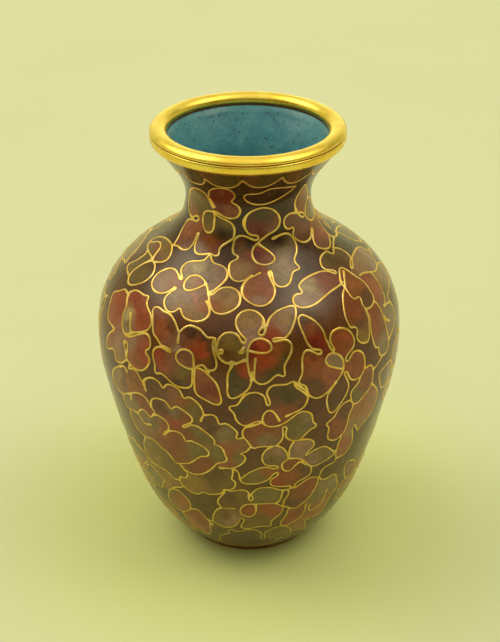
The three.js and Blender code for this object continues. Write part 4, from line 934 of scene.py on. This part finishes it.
def new_object(name, mesh, material, node):
    """add the object; it replaces the frame's node where the frame has one"""
    mesh.materials.append(material)
    o = bpy.data.objects.new(name, mesh)
    bpy.context.scene.collection.objects.link(o)
    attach(o, "root")
    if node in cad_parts:
        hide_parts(node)
    return o


def revolve(name, profile, material, node, segments=160, sharp=50, unevenness=0.0):
    """turned solid from a profile (r, z), anticlockwise; closed ring, or from axis to axis"""
    on_axis = profile[0][0] == 0
    verts, rings, faces = [], [], []
    for r, z in profile:
        first = len(verts)
        if r == 0:
            verts.append((0, 0, z))
        else:
            for s in range(segments):
                a = 2 * math.pi * s / segments
                rr = r + unevenness * (math.sin(3 * a + 1) + 0.6 * math.sin(7 * a + z)) * 0.5
                verts.append((rr * math.sin(a), -rr * math.cos(a), z))
        rings.append(range(first, len(verts)))
    for i in range(len(profile) - on_axis):
        a, b = rings[i], rings[(i + 1) % len(profile)]
        for s in range(segments):
            t = (s + 1) % segments
            quad = (a[s % len(a)], a[t % len(a)], b[t % len(b)], b[s % len(b)])
            quad = list(dict.fromkeys(quad))
            if len(quad) > 2:
                faces.append(quad)
    mesh = new_mesh(name, np.array(verts) * MM, faces)
    mesh.set_sharp_from_angle(angle=math.radians(sharp))
    return new_object(name, mesh, material, node)


def offset_profile(depth, z_low, z_high):
    """(r, z) about 1 mm apart, a depth inside the enamel surface"""
    z = np.arange(KNOT_Z[0], KNOT_Z[-1] + 1e-6, 0.25)
    r, slope = radius(z)
    k = 1 / np.hypot(1, slope)
    r, z = r - depth * k, z + depth * slope * k
    keep = (z > z_low) & (z < z_high)
    r, z = r[keep], z[keep]
    s = np.concatenate([[0], np.cumsum(np.hypot(np.diff(r), np.diff(z)))])
    t = np.linspace(0, s[-1], max(8, int(s[-1])))
    return list(zip(np.interp(t, s, r), np.interp(t, s, z)))


# ------------------------------------------------------------------ shader helpers
class Graph:
    """a cleared node tree, with short calls for the nodes used here"""

    def __init__(self, owner):
        owner.use_nodes = True
        self.tree = owner.node_tree
        self.tree.nodes.clear()

    def feed(self, socket, value):
        """link an output to the socket, or set the socket's value"""
        if isinstance(value, bpy.types.NodeSocket):
            self.tree.links.new(value, socket)
        else:
            socket.default_value = (*value, 1) if socket.type == "RGBA" else value

    def add(self, kind, inputs=None, **settings):
        node = self.tree.nodes.new("ShaderNode" + kind)
        for key, value in settings.items():
            setattr(node, key, value)
        for key, value in (inputs or {}).items():
            self.feed(node.inputs[key], value)
        return node

    def noise(self, place, scale, detail=3.0, roughness=0.55, distortion=0.0):
        return self.add("TexNoise", {"Scale": scale, "Detail": detail, "Roughness": roughness,
                                     "Distortion": distortion, "Vector": place}).outputs[0]

    def voronoi(self, place, scale):
        return self.add("TexVoronoi", {"Scale": scale, "Vector": place}).outputs["Distance"]

    def ramp(self, source, *stops):
        """stops are (position, rgb or grey)"""
        node = self.add("ValToRGB", {0: source})
        elements = node.color_ramp.elements
        while len(elements) > 1:
            elements.remove(elements[0])
        elements[0].position = stops[0][0]
        for i, (position, colour) in enumerate(stops):
            element = elements.new(position) if i else elements[0]
            element.color = (*np.full(3, colour, float), 1)
        return node.outputs[0]

    def mix(self, mode, factor, a, b):
        return self.add("Mix", {0: factor, 6: a, 7: b}, data_type="RGBA",
                        blend_type=mode).outputs[2]

    def math(self, operation, *values):
        return self.add("Math", dict(enumerate(values)), operation=operation).outputs[0]

    def map_range(self, value, low, high, interpolation="SMOOTHSTEP"):
        return self.add("MapRange", {0: value, 1: low, 2: high},
                        interpolation_type=interpolation).outputs[0]

    def bump(self, shader, *layers):
        """chain of (height, strength, distance in m)"""
        normal = None
        for height, strength, distance in layers:
            inputs = {"Strength": strength, "Distance": distance, "Height": height}
            if normal:
                inputs["Normal"] = normal
            normal = self.add("Bump", inputs).outputs[0]
        self.feed(shader.inputs["Normal"], normal)


def new_material(name):
    """material, its graph, its shader and the object coordinates"""
    material = bpy.data.materials.new(name)
    graph = Graph(material)
    output = graph.add("OutputMaterial")
    shader = graph.add("BsdfPrincipled")
    graph.feed(output.inputs[0], shader.outputs[0])
    return material, graph, shader, graph.add("TexCoord").outputs["Object"]


# ------------------------------------------------------------------ materials
def enamel_material(name, cloudiness, milkiness):
    material, graph, shader, place = new_material(name)
    corner_colour = graph.add("VertexColor", layer_name="Col").outputs[0]
    # cloudy shading inside the glass, then fine frit grain
    cloud = graph.noise(place, scale=420, detail=4, roughness=0.6, distortion=0.6)
    grain = graph.noise(place, scale=2600, detail=2, roughness=0.7)
    cloud = graph.ramp(cloud, (0.28, (0.70, 0.68, 0.66)), (0.5, 1), (0.74, (1.36, 1.30, 1.26)))
    colour = graph.mix("MULTIPLY", cloudiness, corner_colour, cloud)
    grain = graph.ramp(grain, (0.33, (0.72, 0.72, 0.74)), (0.5, 1), (0.70, (1.35, 1.32, 1.28)))
    colour = graph.mix("MULTIPLY", 0.7, colour, grain)
    # pale milky wisps and a few dark pits
    wisp = graph.noise(place, scale=260, detail=5, roughness=0.65, distortion=1.6)
    milk = graph.math("MULTIPLY", graph.ramp(wisp, (0.56, 0), (0.78, 1)), milkiness)
    colour = graph.mix("MIX", milk, colour, linear((158, 132, 104)))
    pit = graph.ramp(graph.voronoi(place, scale=520), (0.0, 0), (0.075, 0), (0.11, 1))
    colour = graph.mix("MULTIPLY", 0.55, colour, pit)
    graph.feed(shader.inputs["Base Color"], colour)
    gloss = graph.ramp(graph.noise(place, scale=600), (0.3, 0.13), (0.75, 0.24))
    graph.feed(shader.inputs["Roughness"], gloss)
    shader.inputs["IOR"].default_value = 1.47
    wave = graph.noise(place, scale=150, detail=2)
    peel = graph.noise(place, scale=900, detail=2)
    graph.bump(shader, (wave, 0.35, 0.0004), (peel, 0.25, 0.00005), (pit, 0.3, 0.00004))
    return material


def metal_material(name, base, dark, roughness, tarnish, scale, brushed=True, fade=None,
                   metallic=1.0):
    """base and dark in sRGB; the low-shade argument is (low z, high z in m, colour factor below)
    and paints shade and an olive floor reflection on the lower part
    """
    material, graph, shader, place = new_material(name)
    base = linear(base)
    stain = graph.noise(place, scale, detail=5, roughness=0.6, distortion=0.3)
    colour = graph.ramp(stain, (0.34, linear(dark)), (0.34 + 0.5 * (1 - tarnish) + 0.06, base),
                        (0.8, np.minimum(1, base * 1.06)))
    # painted shade and floor reflection: the colour darkens and turns olive below the z band
    if fade:
        low, high, factor = fade
        z = graph.add("SeparateXYZ", {0: place}).outputs[2]
        height = graph.map_range(z, low, high, "LINEAR")
        painted_shade_tint = graph.mix("MIX", height, factor, (1.0, 1.0, 1.0))
        colour = graph.mix("MULTIPLY", 1.0, colour, painted_shade_tint)
    graph.feed(shader.inputs["Base Color"], colour)
    shader.inputs["Metallic"].default_value = metallic
    fine = graph.noise(place, scale * 3)
    gloss = graph.ramp(fine, (0.3, roughness[0]), (0.72, roughness[1]))
    graph.feed(shader.inputs["Roughness"], gloss)
    layers = [(fine, 0.25, 0.00004)]
    if brushed:
        squeezed = graph.add("Mapping", {"Scale": (1, 1, 14), "Vector": place}).outputs[0]
        brush = graph.noise(squeezed, scale=420, detail=2, roughness=0.5)
        layers.append((brush, 0.18, 0.00003))
    graph.bump(shader, *layers)
    return material


def turquoise_material(name, tone=1.0):
    material, graph, shader, place = new_material(name)
    deep, mid, pale = linear([(58, 124, 148), (72, 143, 166), (96, 160, 172)]) * tone
    cloud = graph.noise(place, scale=170, detail=5, roughness=0.62, distortion=0.5)
    colour = graph.ramp(cloud, (0.28, deep), (0.52, mid), (0.78, pale))
    grain = graph.noise(place, scale=2400, detail=2, roughness=0.7)
    grain = graph.ramp(grain, (0.34, (0.72, 0.76, 0.78)), (0.52, 1), (0.72, (1.22, 1.18, 1.12)))
    colour = graph.mix("MULTIPLY", 0.8, colour, grain)
    # light specks and dark pits, each only in patches
    speck = graph.ramp(graph.voronoi(place, scale=1150), (0.0, 1), (0.10, 1), (0.17, 0))
    patch = graph.noise(place, scale=280, detail=1, roughness=0.5, distortion=0.4)
    patch = graph.ramp(patch, (0.50, 0), (0.62, 0.7))
    specks = graph.mix("MULTIPLY", 1.0, speck, patch)
    colour = graph.mix("MIX", specks, colour, linear((150, 188, 184)) * tone)
    pit = graph.ramp(graph.voronoi(place, scale=800), (0.0, 0), (0.13, 0.1), (0.19, 1))
    patch = graph.ramp(graph.noise(place, scale=330, detail=1), (0.44, 1), (0.56, 0))
    pits = graph.mix("LIGHTEN", 1.0, pit, patch)
    colour = graph.mix("MIX", pits, linear((44, 60, 60)), colour)
    graph.feed(shader.inputs["Base Color"], colour)
    graph.feed(shader.inputs["Roughness"], graph.ramp(cloud, (0.3, 0.26), (0.7, 0.42)))
    shader.inputs["IOR"].default_value = 1.5
    graph.bump(shader, (graph.noise(place, scale=240), 0.5, 0.0004), (pits, 0.6, 0.0001))
    return material


def paper_material():
    material, graph, shader, place = new_material("pale_paper")
    mottle = graph.noise(place, scale=6, detail=4, roughness=0.5)
    colour = graph.ramp(mottle, (0.3, linear((214, 218, 184))), (0.7, linear((220, 223, 189))))
    # painted shade: round the foot the floor is tinted a purer yellow green, the colour of the
    # shadow there
    away = graph.add("VectorMath", {0: place}, operation="LENGTH").outputs["Value"]
    painted_shade_tint = graph.mix("MIX", graph.map_range(away, 0.02, 0.085), (1.08, 1.12, 0.74),
                     (1.0, 1.0, 1.0))
    graph.feed(shader.inputs["Base Color"], graph.mix("MULTIPLY", 1.0, colour, painted_shade_tint))
    shader.inputs["Roughness"].default_value = 0.7
    shader.inputs["Specular IOR Level"].default_value = 0.15
    return material


petal_enamel = enamel_material("petal_enamel", cloudiness=0.9, milkiness=0.22)
ground_enamel = enamel_material("ground_enamel_dark", cloudiness=0.75, milkiness=0.07)
# the gilt wire is painted darker and olive towards the foot, as shade and floor reflection
gilt_wire = metal_material(
    "gilt_wire", base=(255, 226, 150), dark=(226, 178, 70), roughness=(0.28, 0.46), tarnish=0.3,
    scale=620, brushed=False, fade=(0.006, 0.066, (0.66, 0.73, 0.58)))
gilt_ring = metal_material(
    "gilt_ring", base=(255, 234, 112), dark=(244, 200, 76), roughness=(0.20, 0.34), tarnish=0.3,
    scale=160)
# brown brass for the ring's inner face, groove and underside: painted shade and dark reflection,
# with some tarnish
tarnish_and_shade_brass = metal_material(
    "tarnish_and_shade_brass", base=(168, 108, 56), dark=(112, 64, 32), roughness=(0.4, 0.6), tarnish=0.6,
    scale=500, metallic=0.3)
spun_copper = metal_material(
    "spun_copper", base=(186, 110, 76), dark=(120, 66, 44), roughness=(0.25, 0.45), tarnish=0.5,
    scale=220)
dark_copper = metal_material(
    "dark_copper_foot", base=(168, 96, 52), dark=(96, 52, 30), roughness=(0.28, 0.5),
    tarnish=0.6, scale=420, metallic=0.7)
lining_turquoise = turquoise_material("lining_turquoise")
base_turquoise = turquoise_material("base_turquoise", tone=0.8)

# ------------------------------------------------------------------ enamel pieces
ENAMEL_DEPTH = 0.3
ENAMEL_DIP = 0.03        # sag of the glass away from the wires
DIP_REACH = 1.2
SLAB_EDGE = linear((30, 20, 14))


def enamel_piece(name, chosen, material, node):
    """a slab of enamel over the chosen triangles"""
    used, top_faces = np.unique(welded[chosen], return_inverse=True)
    top_faces = top_faces.reshape(-1, 3)
    count = len(used)
    u, v = flat[used].T
    dip = -ENAMEL_DIP * np.clip(to_wire[used] / DIP_REACH, 0, 1)
    top, normals = on_surface(u, v, dip)
    verts = np.concatenate([top, on_surface(u, v, -ENAMEL_DEPTH)[0]])
    under = top_faces[:, ::-1]
    pairs = np.concatenate([top_faces[:, [0, 1]], top_faces[:, [1, 2]], top_faces[:, [2, 0]]])
    forward = pairs[:, 0].astype(np.int64) * count + pairs[:, 1]
    backward = pairs[:, 1].astype(np.int64) * count + pairs[:, 0]
    a, b = pairs[~np.isin(forward, backward)].T
    walls = np.concatenate([np.stack([b, a, a + count], 1), np.stack([b, a + count, b + count], 1)])
    mesh = new_mesh(name, verts, np.concatenate([top_faces, under + count, walls]))
    colours = np.ones((len(mesh.loops), 4), np.float32)
    colours[:, :3] = SLAB_EDGE
    colours[:top_faces.size, :3] = rgb[chosen].reshape(-1, 3)
    layer = mesh.color_attributes.new("Col", "FLOAT_COLOR", "CORNER")
    layer.data.foreach_set("color", colours.ravel())
    p = verts[walls]
    wall_normals = np.cross(p[:, 1] - p[:, 0], p[:, 2] - p[:, 0])
    wall_normals /= np.maximum(np.linalg.norm(wall_normals, axis=1), 1e-20)[:, None]
    mesh.normals_split_custom_set(np.concatenate([
        normals[top_faces.ravel()], -normals[under.ravel()],
        np.repeat(wall_normals, 3, 0)]).tolist())
    new_object(name, mesh, material, node)


for owner in sorted(set(tri_owner)):
    chosen = np.nonzero(tri_owner == owner)[0]
    if owner == "ground":
        enamel_piece("ground_enamel_glass", chosen, ground_enamel,
                     "ground_enamel")
    elif owner == "collar":
        enamel_piece("collar_enamel_band", chosen, petal_enamel,
                     "collar_enamel")
    else:
        enamel_piece(owner + "_petals", chosen, petal_enamel, "enamel_" + owner)

# ------------------------------------------------------------------ cloison wires
# across (of the width), height
SECTION = np.array([(-0.5, -0.14), (-0.5, 0.010), (-0.34, 0.045), (0.0, 0.062), (0.34, 0.045),
                    (0.5, 0.010), (0.5, -0.14)])
WIRE_WIDTH = 0.41
WIRE_STEP = 0.36
TOUCH = 0.42             # ends nearer than this to another wire meet it
NOSE = ((0.72, 0.09), (0.3, 0.15))         # share of the width, reach past the end

path_points = [(wrap(u), v, number, k) for number, (_, _, path) in enumerate(wire_paths)
               for k, (u, v) in enumerate(path)]
path_tree = point_tree([p[:2] for p in path_points])


def is_free(number, path, end):
    """whether this end (0 first, -1 last) lies clear of other wires and its own far part"""
    u, v = path[end]
    for _, i, _ in path_tree.find_range((wrap(u), v, 0), TOUCH / float(scale_at(v))):
        _, _, other, k = path_points[i]
        if other != number or (k if end == 0 else len(path) - 1 - k) > 6:
            return False
    return True


def sections(path, across, width, scale, tall, lift):
    """the wire's section at every point of the path"""
    offset = SECTION[:, 0] * width[:, None] / scale[:, None]
    at = path[:, None] + across[:, None] * offset[..., None]
    height = SECTION[:, 1]
    height = np.where(height > 0, height * tall[:, None], height) + lift
    return on_surface(at[..., 0], at[..., 1], height)[0]


def wire_shape(number, closed, path):
    """vertices and faces of one wire"""
    path = resample(path, WIRE_STEP)
    scale = scale_at(path[:, 1])
    if closed:
        path, scale = path[:-1], scale[:-1]
        along = np.roll(path, -1, 0) - np.roll(path, 1, 0)
    else:
        along = np.gradient(path, axis=0)
    count = len(path)
    along /= np.maximum(np.hypot(*along.T), 1e-9)[:, None]
    across = np.stack([-along[:, 1], along[:, 0]], 1)
    s = np.arange(count) * WIRE_STEP
    r = np.random.RandomState(100 + number)
    width = WIRE_WIDTH * (1 + 0.07 * np.sin(s * r.uniform(0.5, 1.1) + r.uniform(0, 6))
                          + 0.05 * np.sin(s * r.uniform(1.5, 3) + r.uniform(0, 6)))
    width = width * np.interp(path[:, 1], (-60, 20), (0.84, 1.0))    # thinner towards the foot
    tall = np.ones(count)
    if not closed:
        for end in (0, -1):
            distance = s if end == 0 else s[::-1]
            if is_free(number, path, end):         # a bead just short of the end
                blob = r.uniform(0.35, 0.85)
                bead = np.exp(-((distance - 0.55) / 0.6) ** 2)
                width = width * (1 + blob * bead)
                tall = tall * (1 + 0.5 * blob * bead)
            else:                                  # spread where it meets a wire
                blob, reach = r.uniform(0.2, 1.05), r.uniform(0.5, 1.5)
                width = width * (1 + blob * np.exp(-(distance / reach) ** 2))
    lift = r.uniform(-0.008, 0.008)
    verts = [sections(path, across, width, scale, tall, lift).reshape(-1, 3)]
    size = len(SECTION)

    def band(a, b):
        """quads from the section starting at vertex a to the one at b"""
        return [(a + j2, b + j2, b + j, a + j)
                for j, j2 in zip(range(size), (*range(1, size), 0))]

    faces = []
    for k in range(count if closed else count - 1):
        faces += band(k * size, (k + 1) % count * size)
    if not closed:
        # rounded noses
        added = count * size
        for k, direction in ((0, -1), (count - 1, 1)):
            previous = k * size
            one = slice(k, k + 1)
            for shrink, push in NOSE:
                tip = path[one] + direction * along[one] * push / scale[k]
                verts.append(sections(tip, across[one], width[one] * shrink, scale[one],
                                      np.array([0.75]), lift)[0])
                quads = band(previous, added)
                faces += quads if direction == 1 else [quad[::-1] for quad in quads]
                previous = added
                added += size
            cap = tuple(range(previous, previous + size))
            faces.append(cap[::-1] if direction == 1 else cap)
    return np.concatenate(verts), faces


bundles = {}             # owner -> vertex arrays, faces, vertex count
for number, (owner, closed, path) in enumerate(wire_paths):
    if path[:, 1].min() < V_LOW - 1 or path[:, 1].max() > V_HIGH:
        path = path[(path[:, 1] > V_LOW) & (path[:, 1] < V_HIGH)]
    if len(path) < 2:
        continue
    verts, faces = wire_shape(number, closed, path)
    bundle = bundles.setdefault(owner, [[], [], 0])
    bundle[0].append(verts)
    bundle[1].extend(tuple(i + bundle[2] for i in f) for f in faces)
    bundle[2] += len(verts)
for owner, (verts, faces, _) in sorted(bundles.items()):
    mesh = new_mesh(owner + "_wires", np.concatenate(verts), faces)
    mesh.set_sharp_from_angle(angle=math.radians(50))
    node = "collar_wire" if owner == "collar" else "wire_" + owner
    new_object(owner + "_cloisons", mesh, gilt_wire, node)


# ------------------------------------------------------------------ turned pieces
def mouth_ring():
    """a rolled bead on a low band, with a fine groove between; its inner side, the groove and the
    underside are brown, painted shade and dark reflection with some tarnish
    """
    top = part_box("mouth_ring")[1].z / MM
    bead_r, bead_width, bead_height = 18.68, 1.95, 1.72
    segments = 220
    # r, z, and whether the face gets the brown brass of painted shade and tarnish
    stations = [(17.4, 97.2, 0), (19.0, 97.2, 1), (19.35, 97.3, 1), (19.5, 97.45, 0)]
    # r, z for a top at 101.1, and the same brown flag: the band up to the groove
    stations += [(r, z + top - 101.1, tarnish_and_shade) for r, z, tarnish_and_shade in (
        (19.62, 97.58, 0), (19.9, 97.66, 0), (20.14, 97.8, 0), (20.32, 98.02, 0),
        (20.43, 98.32, 0), (20.48, 98.68, 0), (20.47, 99.04, 0), (20.43, 99.32, 0),
        (20.37, 99.44, 0), (20.26, 99.55, 1), (20.16, 99.62, 1), (20.16, 99.72, 1),
        (20.30, 99.82, 0), (20.40, 99.94, 0))]
    for k in range(40):
        degrees = 28 + (205 - 28) * k / 39
        a = math.radians(degrees)
        stations.append((bead_r + bead_width * math.cos(a),
                         top - bead_height + bead_height * math.sin(a), int(degrees > 178)))
    stations += [(16.86, 98.3, 1), (16.84, 97.8, 1), (17.0, 97.4, 1)]
    ring = revolve("mouth_ring_gilt", [station[:2] for station in stations], gilt_ring,
                   "mouth_ring", segments, sharp=40, unevenness=0.03)
    ring.data.materials.append(tarnish_and_shade_brass)
    tarnish_and_shade = np.array([station[2] for station in stations], np.int32)
    ring.data.polygons.foreach_set("material_index", np.repeat(tarnish_and_shade, segments))


mouth_ring()
revolve("foot_ring_copper",
        [(14.3, 0.02), (14.6, 0), (15.6, 0), (15.85, 0.12), (15.98, 0.4), (16.0, 0.9),
         (16.3, 1.25), (16.85, 1.5), (16.95, 1.75), (16.4, 2.1), (15.8, 2.4), (14.3, 2.4),
         (14.22, 1.2)],
        dark_copper, "foot_ring", segments=180, sharp=40, unevenness=0.03)
revolve("base_enamel_disc",
        [(0, 1.62), (4, 1.6), (9, 1.52), (12.6, 1.36), (13.7, 1.12), (14.1, 0.95), (14.15, 2.4),
         (0, 2.4)],
        base_turquoise, "base_enamel")
lining_inner = offset_profile(2.85, 4.9, 97.4) + [(16.55, 98.62)]
lining_outer = offset_profile(2.25, 3.9, 97.2) + [(16.74, 97.7), (16.80, 98.7)]
lining_floor = [(14, 4.8), (11, 4.6), (6, 4.52), (0, 4.5)]
revolve("lining_enamel_glass", [(0, 3.85)] + lining_outer + lining_inner[::-1] + lining_floor,
        lining_turquoise, "lining_enamel")
copper_outer, copper_inner = offset_profile(1.05, 2.7, 96.9), offset_profile(2.05, 3.7, 96.9)
revolve("copper_body_spun", [(0, 2.6)] + copper_outer + copper_inner[::-1] + [(0, 3.6)],
        spun_copper, "copper_body", segments=140)


# ------------------------------------------------------------------ floor, light, camera (m)
def add_floor():
    half = 4.0
    corners = [(-half, -half, 0), (half, -half, 0), (half, half, 0), (-half, half, 0)]
    mesh = new_mesh("floor_sheet", corners, [(0, 1, 2, 3)])
    mesh.materials.append(paper_material())
    floor = bpy.data.objects.new("floor_sheet", mesh)
    bpy.context.scene.collection.objects.link(floor)
    floor.location.z = -0.00002


def add_world():
    """a soft room with two windows; the camera itself sees an even pale backdrop"""
    world = bpy.data.worlds.new("soft_room")
    bpy.context.scene.world = world
    graph = Graph(world)
    math_, ramp = graph.math, graph.map_range
    direction = graph.add("TexCoord").outputs["Generated"]
    x, y, z = graph.add("SeparateXYZ", {0: direction}).outputs

    def window(towards, sharpness, strength):
        facing = graph.add("VectorMath", {0: direction, 1: towards}, operation="DOT_PRODUCT")
        fall = math_("MULTIPLY", math_("SUBTRACT", facing.outputs["Value"], 1.0), sharpness)
        return math_("MULTIPLY", math_("EXPONENT", fall), strength)

    overhead = math_("MULTIPLY", ramp(z, 0.45, 1.0), 0.85)
    low_back = math_("MULTIPLY", ramp(y, -0.55, 0.35), ramp(z, 0.95, 0.30))
    low_back = math_("MULTIPLY", low_back, 1.02)
    aside = math_("MULTIPLY", ramp(math_("ABSOLUTE", x), 0.12, 0.75), 0.72)
    low_back = math_("MULTIPLY", low_back, math_("SUBTRACT", 1.0, aside))
    room = math_("ADD", math_("MULTIPLY", ramp(z, 0.6, 0.0), 0.26), 0.10)
    left_window = window((-0.62, 0.20, 0.758), sharpness=26.0, strength=3.2)
    right_window = window((0.50, -0.08, 0.862), sharpness=36.0, strength=3.0)
    total = None
    for strength, colour in ((overhead, (1.0, 0.96, 0.74)), (low_back, (1.0, 0.98, 0.60)),
                             (room, (0.96, 1.0, 0.38)), (left_window, (1.0, 0.91, 0.62)),
                             (right_window, (1.0, 0.91, 0.62))):
        part = graph.add("VectorMath", {0: colour, "Scale": strength},
                         operation="SCALE").outputs[0]
        if total:
            part = graph.add("VectorMath", {0: total, 1: part}, operation="ADD").outputs[0]
        total = part
    lighting = graph.add("Background", {0: total, 1: 1.0}).outputs[0]
    backdrop = graph.add("Background", {0: linear((222, 223, 168)), 1: 1.0}).outputs[0]
    seen = graph.add("LightPath").outputs["Is Camera Ray"]
    shown = graph.add("MixShader", {0: seen, 1: lighting, 2: backdrop}).outputs[0]
    graph.add("OutputWorld", {0: shown})


def add_light(name, place, size, power):
    light = bpy.data.lights.new(name, "AREA")
    light.shape = "RECTANGLE"
    light.size = light.size_y = size
    light.energy = power
    light.color = (1.0, 0.97, 0.85)
    o = bpy.data.objects.new(name, light)
    bpy.context.scene.collection.objects.link(o)
    o.location = place
    aim = Vector((0, 0, 0.06)) - Vector(place)
    o.rotation_euler = aim.to_track_quat("-Z", "Y").to_euler()


def add_camera():
    lens = bpy.data.cameras.new("camera")
    camera = bpy.data.objects.new("camera", lens)
    bpy.context.scene.collection.objects.link(camera)
    lens.sensor_width = 36
    lens.lens = 67.28971963
    lens.shift_x = 0.001713395639
    lens.clip_start, lens.clip_end = 0.01, 50
    look_down, roll = math.radians(90 - 30.183), -0.0047
    camera.matrix_world = (Matrix.Translation((0, -0.23499, 0.19025))
                           @ Matrix.Rotation(look_down, 4, "X") @ Matrix.Rotation(roll, 4, "Z"))
    bpy.context.scene.camera = camera


add_floor()
add_world()
add_light("key_left", place=(-0.9, 0.25, 1.25), size=1.1, power=2.2)
add_light("key_right", place=(0.8, 0.1, 1.3), size=1.0, power=1.6)
add_camera()
bpy.context.scene.view_settings.view_transform = "Standard"
bpy.context.scene.view_settings.look = "None"
